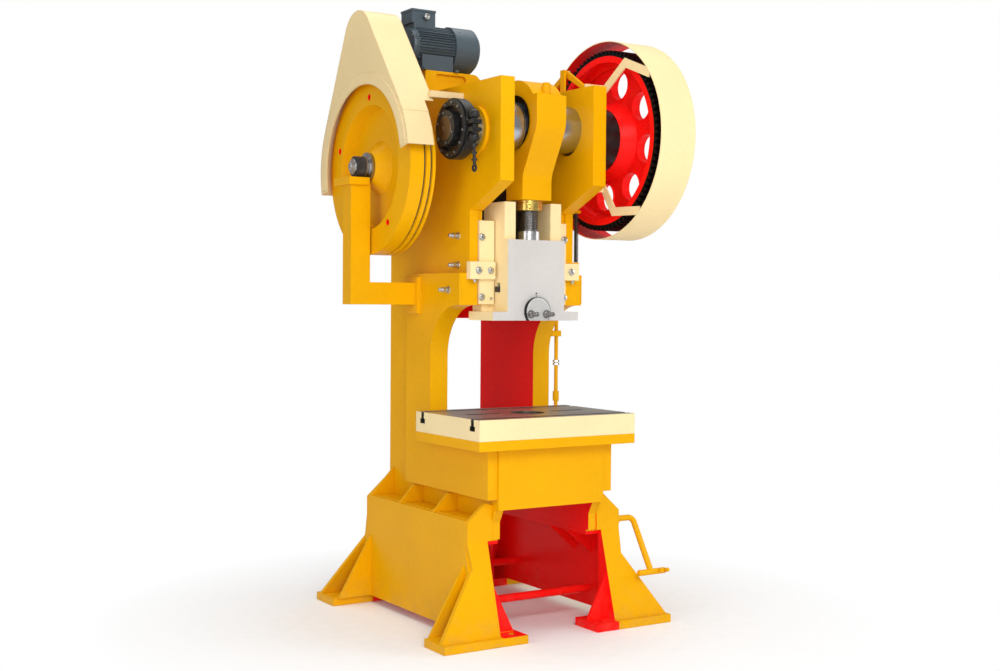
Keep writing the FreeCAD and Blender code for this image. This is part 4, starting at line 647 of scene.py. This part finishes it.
def soft_block(bm, start, stop, round_off, segments=2):
    """A block between two corners with rounded edges."""
    made = bmesh.ops.create_cube(bm, size=1.0)["verts"]
    centre, size = (start + stop) / 2, stop - start
    for vert in made:
        vert.co = Vector((vert.co.x * size.x, vert.co.y * size.y, vert.co.z * size.z)) + centre
    edges = list(dict.fromkeys(edge for vert in made for edge in vert.link_edges))
    bmesh.ops.bevel(bm, geom=edges, offset=round_off, segments=segments, profile=0.6, affect="EDGES")


def weld(bm, points, size=4.5 * MM):
    """A rippled weld bead along straight runs between points."""
    ripple = 4 * MM
    for start, stop in zip(points, points[1:]):
        run = stop - start
        count = max(4, int(run.length / ripple))
        line = [start + run * (k / count) for k in range(count + 1)]
        sizes = [size * (1 + 0.10 * math.sin(k * 1.9) + 0.06 * math.sin(k * 0.7)) for k in range(count + 1)]
        tube(bm, line, sizes, 6)


def islands(node):
    """The box of each separate solid in a CAD node, left to right and then low to high."""
    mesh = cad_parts[node].data
    keys = [tuple(round(c, 5) for c in vert.co) for vert in mesh.vertices]
    parent = {key: key for key in keys}

    def root(key):
        while parent[key] != key:
            parent[key] = parent[parent[key]]
            key = parent[key]
        return key

    for polygon in mesh.polygons:
        first = root(keys[polygon.vertices[0]])
        for index in polygon.vertices[1:]:
            parent[root(keys[index])] = first
    boxes = {}
    for key in set(keys):
        boxes.setdefault(root(key), []).append(Vector(key))
    found = [[Vector([pick(p[i] for p in points) for i in range(3)]) for pick in (min, max)]
             for points in boxes.values()]
    return sorted(found, key=lambda box: (round(box[0].x, 3), round(box[0].z, 3), round(box[0].y, 3)))


# ---- small parts --------------------------------------------------------------------------------

BOLT_HEAD = 10 * MM
BOLT_ACROSS = 21.6 * MM
NUT_ACROSS = 20 * MM


def quarter():
    """Turns of a quarter circle, for a fillet."""
    return [math.radians(90 * k / 6) for k in range(7)]


def guide_fasteners():
    """Gib bolts, stop bolts and set screws with their washers, threads and lock nuts."""
    bm = bmesh.new()
    for start, stop in islands("guide_bolts"):
        centre, size = (start + stop) / 2, stop - start
        if size.y > 40 * MM or start.y < low("knockout_stops").y - 5 * MM:
            seat = facing_front(centre.x, start.y + BOLT_HEAD, centre.z)
            thick = 2.2 * MM
            washer(bm, seat, 14 * MM, thick)
            turn = Matrix.Rotation(centre.z * 40, 4, "Z")
            hex_head(bm, lifted(seat, thick) @ turn, BOLT_ACROSS, BOLT_HEAD - thick)
        elif size.x > 25 * MM:
            side = math.copysign(1, centre.x)
            face = start.x if side > 0 else stop.x
            seat = stand_on(Vector((face, centre.y, centre.z)), AXES["X"] * side)
            thick = 2 * MM
            washer(bm, seat, 14.5 * MM, thick)
            turn = Matrix.Rotation(centre.z * 25, 4, "Z")
            hex_head(bm, lifted(seat, thick) @ turn, BOLT_ACROSS, 8 * MM)
            thread(bm, lifted(seat, 9 * MM), 7.6 * MM, 35 * MM, 2 * MM)
            hex_head(bm, lifted(seat, 17 * MM) @ turn, NUT_ACROSS, 9 * MM)
        else:
            seat = stand_on(Vector((centre.x, centre.y, stop.z)), -AXES["Z"])
            hex_head(bm, seat, 13.6 * MM, 5 * MM)
            turning(bm, [(6 * MM, 0), (6 * MM, 12 * MM), (4.5 * MM, size.z)], seat, 20)
    done = piece("guide_fasteners", bm, ZINC, "root")
    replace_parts(done, "guide_bolts")


def spindle_radius(height, phase):
    """Radius of the ball screw: ball, neck, then a trapezoid thread."""
    ball, neck, crest, deep, pitch = 34, 22, 37, 3.4, 6.0
    ball_z, neck_top, thread_low, thread_top = 1470, 1539, 1544, 1815
    from_ball = height - ball_z
    if from_ball < math.sqrt(ball ** 2 - neck ** 2):
        return math.sqrt(max(0.01, ball ** 2 - from_ball ** 2))
    if height < neck_top:
        return neck
    if height < thread_low:
        return crest - 0.6
    place = abs((height / pitch - phase) % 1.0 - 0.5) * 2
    cut = deep * min(1.0, max(0.0, (place - 0.25) / 0.35))
    return crest - cut - max(0.0, height - thread_top) * 0.8


def ball_screw():
    ball = [1436.2, 1437, 1439, 1443, 1448, 1455, 1462, 1470, 1478, 1486, 1492, 1495.9]
    neck = [1496.3, 1538.9, 1539.1, 1543.9]
    heights = ball + neck + [1544 + k for k in range(277)]
    steps = 44
    bm = bmesh.new()
    rows = []
    for height in heights:
        row = []
        for i in range(steps):
            reach, turn = spindle_radius(height, i / steps), FULL * i / steps
            row.append(at(reach * math.cos(turn), reach * math.sin(turn), height))
        rows.append(row)
    capped(bm, grid(bm, rows))
    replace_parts(piece("threaded_ball_screw", bm, SCREW_STEEL, "screw", 50), "ball_screw")


def lock_ring():
    """Locking ring with spanner holes round its side."""
    base, holes_z, hole_in, hole = 1617, 1632, 42 * MM, 5.5 * MM
    bm = bmesh.new()
    outline = [(37.6, 1617.6), (37.6, 1655.8), (38.4, 1656.5), (52, 1656.5), (53, 1655.5), (53, 1648),
               (52.2, 1647.2), (52.2, 1646), (53, 1645.2), (53, 1618.4), (52, base), (38.4, base)]
    rings = in_mm([(radius, level - base) for radius, level in outline])
    ring_turning(bm, rings, Matrix.Translation(at(0, 0, base)), 72)
    ring = piece("drilled_lock_ring", bm, BRASS_RING, "rod")
    holes = bmesh.new()
    for turn in around(4, 238):
        out = Vector((math.cos(turn), math.sin(turn), 0))
        seat = stand_on(at(0, 0, holes_z) + out * hole_in, out)
        turning(holes, [(hole, 0), (hole, 16 * MM)], seat, 20)
    cutter = piece("lock_ring_cutter", holes, BRASS_RING, None)
    cut = ring.modifiers.new("holes", "BOOLEAN")
    cut.object, cut.solver = cutter, "EXACT"
    apply_modifiers(ring)
    bpy.data.objects.remove(cutter)
    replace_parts(ring, "lock_ring")


def gear_casting():
    """Raised rims round the web's holes, and the fillets between hub, web and rim."""
    bm = bmesh.new()
    web_near, web_far, rim_in, hub = 402, 432, 312.4, 92.4
    hole_ring, bead_ring, bead, proud = 225, 58 * MM, 4.2 * MM, 0.6 * MM
    for x, way in ((web_near, -1), (web_far, 1)):
        for place in around(8, 11.25):
            centre = spot(CRANK, x, hole_ring, place)
            line = [centre + Vector((way * proud, y, z)) for y, z in circle(bead_ring, 40)]
            tube(bm, line, bead, 8, closed=True)
    axis = stand_on(Vector((0, CRANK.y, CRANK.z)), AXES["X"])
    fillet, sunk = 20, 0.5
    for x, way in ((web_near, -1), (web_far, 1)):
        arc = [(rim_in + sunk - fillet + fillet * math.sin(a),
                x + way * (fillet - fillet * math.cos(a)) + way * 0.05) for a in quarter()]
        ring_turning(bm, in_mm(arc + [(rim_in + sunk, x)]), axis, 96)
    x, fillet = web_far, 16
    arc = [(hub + fillet - fillet * math.sin(a), x + fillet - fillet * math.cos(a)) for a in quarter()]
    ring_turning(bm, in_mm(arc + [(hub - sunk, x)]), axis, 64)
    piece("gear_casting_rims", bm, RED_PAINT, "gear", 60)


def flywheel_parts():
    """Red lined key holes, the clamp ring's screws, the shaft's end nut and the roller's tyre."""
    wheel_face, hole_ring, clamp_ring_face, end_washer = -492, 276, -505, -562
    bm = bmesh.new()
    lining = in_mm([(12.7, -0.2), (9.8, -0.2), (9.2, -0.8), (9.2, -17), (0.6, -17), (0.6, -19), (12.7, -19)])
    for turn in around(5, 90):
        ring_turning(bm, lining, facing_left(LAY, wheel_face, hole_ring, turn), 28)
    piece("flywheel_hole_linings", bm, RED_PAINT, "layshaft")
    bm = bmesh.new()
    for turn in around(6, 15):
        socket_screw(bm, facing_left(LAY, clamp_ring_face, 50, turn), 4.6 * MM, 0.7 * MM)
    turning(bm, in_mm(((29, 0), (29, 2.2), (27.8, 3))), facing_left(LAY, end_washer), 40)
    hex_head(bm, facing_left(LAY, end_washer - 3), 36 * MM, 8.5 * MM, 48)
    thread(bm, facing_left(LAY, end_washer - 11), 13 * MM, 3 * MM, 1.5 * MM, 28)
    nut = piece("shaft_end_fastening", bm, ZINC, "layshaft")
    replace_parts(nut, "shaft_nut")
    bm = bmesh.new()
    tyre = in_mm([(32.2, 520.4), (40, 520.4), (41, 521.4), (41, 537.6), (40.2, 538.4), (40.2, 539.6),
                  (41, 540.4), (41, 556.6), (40, 557.6), (36, 557.8), (35, 556.6), (32.2, 556.6)])
    ring_turning(bm, tyre, facing_left(LAY, 0), 64)
    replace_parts(piece("roller_tyre", bm, RUBBER, "layshaft"), "support_roller")


def brake_parts():
    """Screws round the brake drum's face, the spring bolt's knobs, and the release lever with its eye."""
    drum_face, hub_face, end_face = -358, -380, -379.8
    bm = bmesh.new()
    for turn in around(12, 8):
        socket_screw(bm, facing_left(CRANK, drum_face, 97, turn), 5.4 * MM, 5 * MM)
    for turn in around(6, 20):
        socket_screw(bm, facing_left(CRANK, hub_face, 57, turn), 4.2 * MM, 3.5 * MM)
    piece("brake_drum_screws", bm, DARK_BOLT, "crank")
    bm = bmesh.new()
    outline = in_mm([(44.6, 0), (44.6, 1.2), (43.4, 2.2), (14, 2.2), (12, 0.8), (5, 0.8), (0.4, -5)])
    turning(bm, outline, facing_left(CRANK, end_face), 56)
    piece("crank_end_face", bm, SHAFT_END, "crank")
    bm = bmesh.new()
    ear_x, ear_y = -329, -128.3
    bolt = Matrix.Translation(at(ear_x, ear_y, 1912))
    turning(bm, in_mm(((8, -62), (8, 62))), bolt, 24)
    half_circle = around(24, -90)[:13]
    knob = [(20.5 * math.cos(a) + 0.3, 42 + 19.5 * math.sin(a)) for a in half_circle]
    collar = ((13, 22.2), (13, 28), (11, 30))
    for way in (-1, 1):
        for outline in (knob, collar):
            turning(bm, in_mm([(radius, way * level) for radius, level in outline]), bolt, 32)
    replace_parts(piece("brake_spring_knobs", bm, BLACK_PAINT, "root"), "brake_spring_bolt")
    bm = bmesh.new()
    drop, eye = 98, 11 * MM
    ear = at(ear_x, ear_y, 1858)
    foot = ear + Vector((-3 * MM, -8 * MM, -drop * MM))
    corners = [end + Vector((0, 0, up * MM)) for end, up in ((ear, 0), (ear, -18), (foot, 20), (foot, 8))]
    tube(bm, bent(corners, 12 * MM), 6 * MM, 14)
    tube(bm, [foot + Vector((0, y, z - 4 * MM)) for y, z in circle(eye, 24)], 4.6 * MM, 10, closed=True)
    for level in (22, 50, 76):
        hex_head(bm, Matrix.Translation(ear + (foot - ear) * (level / drop)), 19 * MM, 8 * MM)
    piece("brake_release_lever", bm, BLACK_PAINT, "root")


def belt_guard_parts():
    """The seam ring round the window, the band's joint, and the screws that hold the face plate."""
    face, edge, front_y, middle_y = -522, 385, 21, 406
    inner, outer, seam_middle, proud = 324, 368, 346, 3.0
    # The guard's lower edge falls from front to back, and the seam stops just above it.
    low_front, low_back = 1850, 1699
    slope = (low_back - low_front) / (2 * edge)
    steps = 180
    bm = bmesh.new()
    rows = []
    for i in range(steps + 1):
        turn = FULL * i / steps - math.pi / 2
        y, z = middle_y + seam_middle * math.cos(turn), LAY.z / MM + seam_middle * math.sin(turn)
        if z > low_front + slope * (y - front_y) + 2:
            rows.append([spot(LAY, face - level, reach, turn) for reach, level in
                         ((inner, 0.05), (inner, proud), (outer - 1.5, proud), (outer, 0.05))])
    capped(bm, grid(bm, rows))
    piece("belt_guard_seam", bm, GUARD_TRIM, "root")
    bm = bmesh.new()
    joint_z, band_in, ridge = 1980, -411, 1.6 * MM
    turn = math.pi - math.asin((joint_z - LAY.z / MM) / edge)
    tube(bm, [spot(LAY, x, edge + 0.2, turn) for x in (face, band_in)], ridge, 8)
    tube(bm, [spot(LAY, face - 0.2, reach, turn) for reach in (outer, edge)], ridge, 8)
    piece("belt_guard_joint", bm, GUARD_TRIM, "root")
    bm = bmesh.new()
    rivet = in_mm([(5.5, 0), (5.2, 1.2), (3.4, 2.4), (0.3, 2.8)])
    for turn in (20, 62, 104, 146, 168):
        turning(bm, rivet, facing_left(LAY, face, 377, math.radians(turn)), 20)
    piece("belt_guard_rivets", bm, GUARD_TRIM, "root")


def motor_parts():
    """Thin cooling ribs between the cast ones, shield bolts, cowl screws, cable gland and lid."""
    bm = bmesh.new()
    left, right = low("motor_frame").x + 14 * MM, high("motor_frame").x - 16 * MM
    core, tip, half_root, half_tip = 76 * MM, 87 * MM, 1.6 * MM, 0.8 * MM
    low_tip, run_in = tip - 4 * MM, 3 * MM
    for turn in [FULL * k / 24 for k in range(24)]:
        if 60 < math.degrees(turn) < 120:
            continue
        out = Vector((0, math.cos(turn), math.sin(turn)))
        side = Vector((0, -math.sin(turn), math.cos(turn)))
        rows = []
        for x, reach in ((left, low_tip), (left + run_in, tip), (right - run_in, tip), (right, low_tip)):
            foot = Vector((x, MOTOR.y, MOTOR.z))
            rows.append([foot + out * core + side * half_root, foot + out * reach + side * half_tip,
                         foot + out * reach - side * half_tip, foot + out * core - side * half_root])
        capped(bm, grid(bm, rows))
    shield = low("motor_end_shield").x / MM + 9
    for turn in around(6, 30):
        hex_head(bm, facing_left(MOTOR, shield, 66, turn), 11 * MM, 6 * MM, 24)
    button = in_mm([(4.6, -1), (4.4, 1.4), (2.4, 2.4), (0.3, 2.6)])
    for turn in around(4, 45):
        seat = stand_on(spot(MOTOR, -90, 93.6, turn), Vector((0, math.cos(turn), math.sin(turn))))
        turning(bm, button, seat, 18)
    for side in (-1, 1):
        for x in (-262, -118):
            seat = Matrix.Translation(Vector((x * MM, MOTOR.y + side * 92 * MM, high("motor_base").z)))
            hex_head(bm, seat, 17 * MM, 9 * MM, 24)
    piece("motor_ribs_and_bolts", bm, MOTOR_PAINT, "root")
    lid_low, lid_high = low("terminal_lid"), high("terminal_lid") - Vector((0, 0, 1.4 * MM))
    bm = bmesh.new()
    soft_block(bm, lid_low, lid_high, 4 * MM, 3)
    inset = 12 * MM
    button = in_mm([(4.2, -1), (4, 1.2), (0.3, 2.2)])
    for x in (lid_low.x + inset, lid_high.x - inset):
        for y in (lid_low.y + inset, lid_high.y - inset):
            turning(bm, button, Matrix.Translation((x, y, lid_high.z - 0.9 * MM)), 18)
    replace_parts(piece("terminal_lid_cover", bm, MOTOR_PAINT, "root"), "terminal_lid")
    bm = bmesh.new()
    seat = facing_front(-238 * MM, low("terminal_box").y, 2.410)
    ring_turning(bm, in_mm([(13, -2), (13, 2.5), (12, 4), (8.5, 4), (7.5, 3), (7.5, -1)]), seat, 36)
    turning(bm, in_mm([(7.4, -1.2), (7.4, 0.6), (5.6, 1.4)]), seat, 24)
    piece("cable_gland_ring", bm, ZINC, "root")


def ram_parts():
    """Clamp studs with nuts, the mark and index notch above the clamp painted as black shade, and the gibs'
    end screws.
    """
    bm = bmesh.new()
    face, front = low("die_clamp_block").y, low("slide").y
    thick = 2.5 * MM
    for x in (-36, 36):
        seat = facing_front(x * MM, face, 1.217)
        washer(bm, seat, 16 * MM, thick)
        hex_head(bm, lifted(seat, thick) @ Matrix.Rotation(x * 0.9, 4, "Z"), 26 * MM, 13 * MM, 48)
        thread(bm, lifted(seat, 15 * MM), 8.8 * MM, 36 * MM, 2 * MM, 24)
    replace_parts(piece("clamp_stud_nuts", bm, SCREW_STEEL, "ram"), "clamp_studs")
    # The mark's dot and the index notch: thin black pieces on the ram's face, painted as the shade in these
    # recesses.
    bm = bmesh.new()
    turning(bm, in_mm([(3.6, 0.05), (3.6, 0.25), (0.3, 0.25)]), facing_front(0, front, 1.297), 20)
    notch_low = Vector((-0.9 * MM, front - 0.3 * MM, 1.2838))
    soft_block(bm, notch_low, Vector((0.9 * MM, front + 0.1 * MM, 1.2905)), 0.1 * MM, 1)
    piece("ram_face_recess_shade", bm, PAINTED_RECESS_SHADE, "ram")
    bm = bmesh.new()
    for x in (-150, 150):
        socket_screw(bm, facing_front(x * MM, low("gibs").y, 1.276), 6 * MM, 5 * MM)
    piece("gib_end_screws", bm, ZINC, "root")


def return_coil():
    """Extension spring from the frame's lug to the pull rod's arm."""
    bottom, top = low("return_spring").z, high("return_spring").z
    centre = middle("return_spring")
    coil, wire, turns, per_turn, inset = 8.1 * MM, 1.7 * MM, 42, 14, 2 * MM
    points = []
    for k in range(turns * per_turn + 1):
        turn = FULL * k / per_turn
        height = bottom + inset + (top - bottom - 2 * inset) * k / (turns * per_turn)
        points.append(Vector((centre.x + coil * math.cos(turn), centre.y + coil * math.sin(turn), height)))
    bm = bmesh.new()
    tube(bm, points, wire, 6)
    spring = piece("return_coil", bm, SPRING_STEEL, None, 80)
    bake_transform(spring)
    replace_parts(spring, "return_spring")


def pedal():
    """Cranked foot lever bent from bar, with its foot bar, prongs and inner lever."""
    axle_y, axle_z, toe_y, toe_z = -98, 400, -222, 200
    bm = bmesh.new()
    bar = [at(300, axle_y, axle_z), at(445, axle_y, axle_z), at(445, toe_y, toe_z)]
    tube(bm, bent(bar, 22 * MM, 8), 12 * MM, 20)
    tube(bm, [at(x, toe_y, toe_z) for x in (383, 385, 512, 514)], [10 * MM, 12 * MM, 12 * MM, 10 * MM], 20)
    way = Vector((0, -1, 0.25)).normalized()
    for x in (507, 477):
        start = at(x, toe_y, toe_z)
        tube(bm, [start, start + way * 31 * MM, start + way * 33.5 * MM], [8.2 * MM, 8.2 * MM, 6 * MM], 16)
    soft_block(bm, at(300, axle_y, 380), at(328, 178, 394), 2.5 * MM)
    collar = stand_on(at(361, axle_y, axle_z), AXES["X"])
    turning(bm, in_mm([(16, 0), (17, 1), (17, 11), (16, 12)]), collar, 32)
    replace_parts(piece("pedal_bar", bm, YELLOW_PAINT, "pedal"), "pedal_lever")


def seams():
    """Weld beads of the frame, the stands and the bracket, painted over."""
    bm = bmesh.new()
    plate, doubler, pad = 241, 284.5, -285
    shelf_z, rib_z, thick = 451, 452, 4 * MM
    for side in (-1, 1):
        x = side * plate
        weld(bm, [at(x, 50, 1374), at(x, 474, 1374), at(x, 474, 528)])
        weld(bm, [at(x, -129, 437), at(x, -155, 486)])
        weld(bm, [at(side * 335, y, shelf_z) for y in (-110, 664)], 3.5 * MM)
        for y in (125, 137, 399, 411):
            weld(bm, [at(side * x_place, y, rib_z) for x_place in (243, 343)], 3 * MM)
        for y in (-232, 801):
            weld(bm, [at(side * x_place, y, FOOT_TOP / MM) for x_place in (264, 512)], thick)
        weld(bm, [at(side * doubler, 46, z) for z in (1256, 1370)], 2.5 * MM)
    weld(bm, [at(-238, -177, 714.5), at(238, -177, 714.5)], thick)
    pad_edge = ((358, 1214), (358, 1360), (474, 1360), (474, 1214), (358, 1214))
    weld(bm, [at(pad, y, z) for y, z in pad_edge], thick)
    weld(bm, [at(-256, 371.5, 2101), at(2, 371.5, 2101)], thick)
    piece("weld_seams", bm, YELLOW_PAINT, "root", 60)


def linkage_parts():
    """Lock nuts and the threaded top of the pull rod, and the latch pin's washer and split pin."""
    bm = bmesh.new()
    x, y = 318, 268
    for level in (1000, 1012, 2074, 2086):
        hex_head(bm, Matrix.Translation(at(x, y, level)), 24 * MM, 9 * MM, 24)
    thread(bm, Matrix.Translation(at(x, y, 2046)), 8.6 * MM, 60 * MM, 2 * MM, 18)
    piece("pull_rod_nuts", bm, ZINC, "link")
    bm = bmesh.new()
    pin_y, pin_z = 130, 2190
    washer(bm, stand_on(at(272.6, pin_y, pin_z), AXES["X"]), 15 * MM, 2.4 * MM, 8.4 * MM)
    tube(bm, [at(277, pin_y, pin_z + up) for up in (-14, 14)], 1.4 * MM, 8)
    piece("latch_pin_washer", bm, ZINC, "root")


def rod_parts():
    """Oil cup on the connecting rod's cap, with its knurled lid."""
    bm = bmesh.new()
    cup_y, cup_z, steps = -112, 2090, 48
    rows = []
    for radius, level in ((12, -1), (14, 0), (14.5, 1), (14.5, 9), (13, 10.5), (6, 12), (0.3, 12.4)):
        row = []
        for i in range(steps):
            reach = radius - (0.5 if i % 2 and 1 <= level <= 9 else 0.0)
            turn = FULL * i / steps
            row.append(at(reach * math.cos(turn), cup_y + reach * math.sin(turn), cup_z + level))
        rows.append(row)
    capped(bm, grid(bm, rows))
    piece("rod_oil_cup", bm, YELLOW_PAINT, "rod")


for make in (guide_fasteners, ball_screw, lock_ring, gear_casting, flywheel_parts, brake_parts,
             belt_guard_parts, motor_parts, ram_parts, return_coil, pedal, seams, linkage_parts, rod_parts):
    make()


# ---- floor, light and camera --------------------------------------------------------------------

EYE = Vector((-2.9548, -4.7397, 1.2754))
YAW, PITCH, ROLL = math.radians(32.2), math.radians(-1.53), math.radians(0.43)
LENS = 49.55
TARGET = Vector((0, -0.1, 1.3))
WHITE = (1, 1, 1)


def two_shaders(nodes, links, share, first, second, output):
    """Send a mix of two shaders to an output node."""
    choose = nodes.new("ShaderNodeMixShader")
    for source, socket in zip((share, first.outputs[0], second.outputs[0]), choose.inputs):
        links.new(source, socket)
    links.new(choose.outputs[0], nodes[output].inputs["Surface"])


def floor():
    """Pale ground that catches the shadows and fades to white away from the press."""
    bm = bmesh.new()
    bmesh.ops.create_grid(bm, x_segments=1, y_segments=1, size=30.0)
    mesh = bpy.data.meshes.new("floor")
    bm.to_mesh(mesh)
    bm.free()
    thing = bpy.data.objects.new("floor", mesh)
    thing.location = (0, 0, -0.5 * MM)
    bpy.context.scene.collection.objects.link(thing)
    look = Look("pale_floor")
    speckle = look.spread(look.noise(18.0, 4.0), 0.3, 0.7)
    shade = look.mix(speckle, (0.90, 0.90, 0.90), (0.93, 0.93, 0.93))
    mesh.materials.append(look.finish(shade, 0.75, 0.0, look.noise(60.0), 0.05))
    away = look.radius("Z", (0, 0, 0))
    blank = look.add("ShaderNodeEmission", Color=WHITE, Strength=1.0)
    rays = look.add("ShaderNodeLightPath")
    fade_start, fade_end = 0.75, 1.6
    share = look.times(look.spread(away, fade_start, fade_end), rays.outputs["Is Camera Ray"])
    two_shaders(look.nodes, look.links, share, look.shader, blank, "Material Output")


def lamp(name, x, y, z, size, power):
    """A square softbox that looks at the press."""
    light = bpy.data.lights.new(name, "AREA")
    light.shape = "SQUARE"
    light.size = size
    light.energy = power
    thing = bpy.data.objects.new(name, light)
    place = Vector((x, y, z))
    thing.matrix_world = stand_on(place, place - TARGET)
    bpy.context.scene.collection.objects.link(thing)


def studio():
    """Five softboxes, soft white light all round, and a white background for the camera."""
    lamp("key_softbox", -1.2, -5.0, 4.2, 3.0, 165)
    lamp("low_softbox", -2.6, -4.8, 1.0, 2.0, 60)
    lamp("fill_softbox", -5.2, -1.2, 2.4, 3.0, 60)
    lamp("right_softbox", 4.8, -2.6, 2.6, 3.0, 80)
    lamp("top_softbox", 0, 0.5, 5.6, 4.0, 125)
    world = bpy.data.worlds.new("white_studio")
    bpy.context.scene.world = world
    world.use_nodes = True
    nodes, links = world.node_tree.nodes, world.node_tree.links
    soft, white = nodes["Background"], nodes.new("ShaderNodeBackground")
    for sky, strength in ((soft, 0.36), (white, 1.0)):
        sky.inputs["Color"].default_value = WHITE + (1,)
        sky.inputs["Strength"].default_value = strength
    rays = nodes.new("ShaderNodeLightPath")
    two_shaders(nodes, links, rays.outputs["Is Camera Ray"], soft, white, "World Output")


def camera():
    """The photo's own view, as fitted to its parallel edges."""
    data = bpy.data.cameras.new("photo_camera")
    data.sensor_width = 36.0
    data.lens = LENS
    data.clip_end = 60.0
    thing = bpy.data.objects.new("photo_camera", data)
    turn = Matrix.Rotation(-YAW, 4, "Z") @ Matrix.Rotation(math.radians(90) + PITCH, 4, "X")
    thing.matrix_world = Matrix.Translation(EYE) @ turn @ Matrix.Rotation(ROLL, 4, "Z")
    bpy.context.scene.collection.objects.link(thing)
    bpy.context.scene.camera = thing


floor()
studio()
camera()
bpy.context.scene.view_settings.view_transform = "Standard"
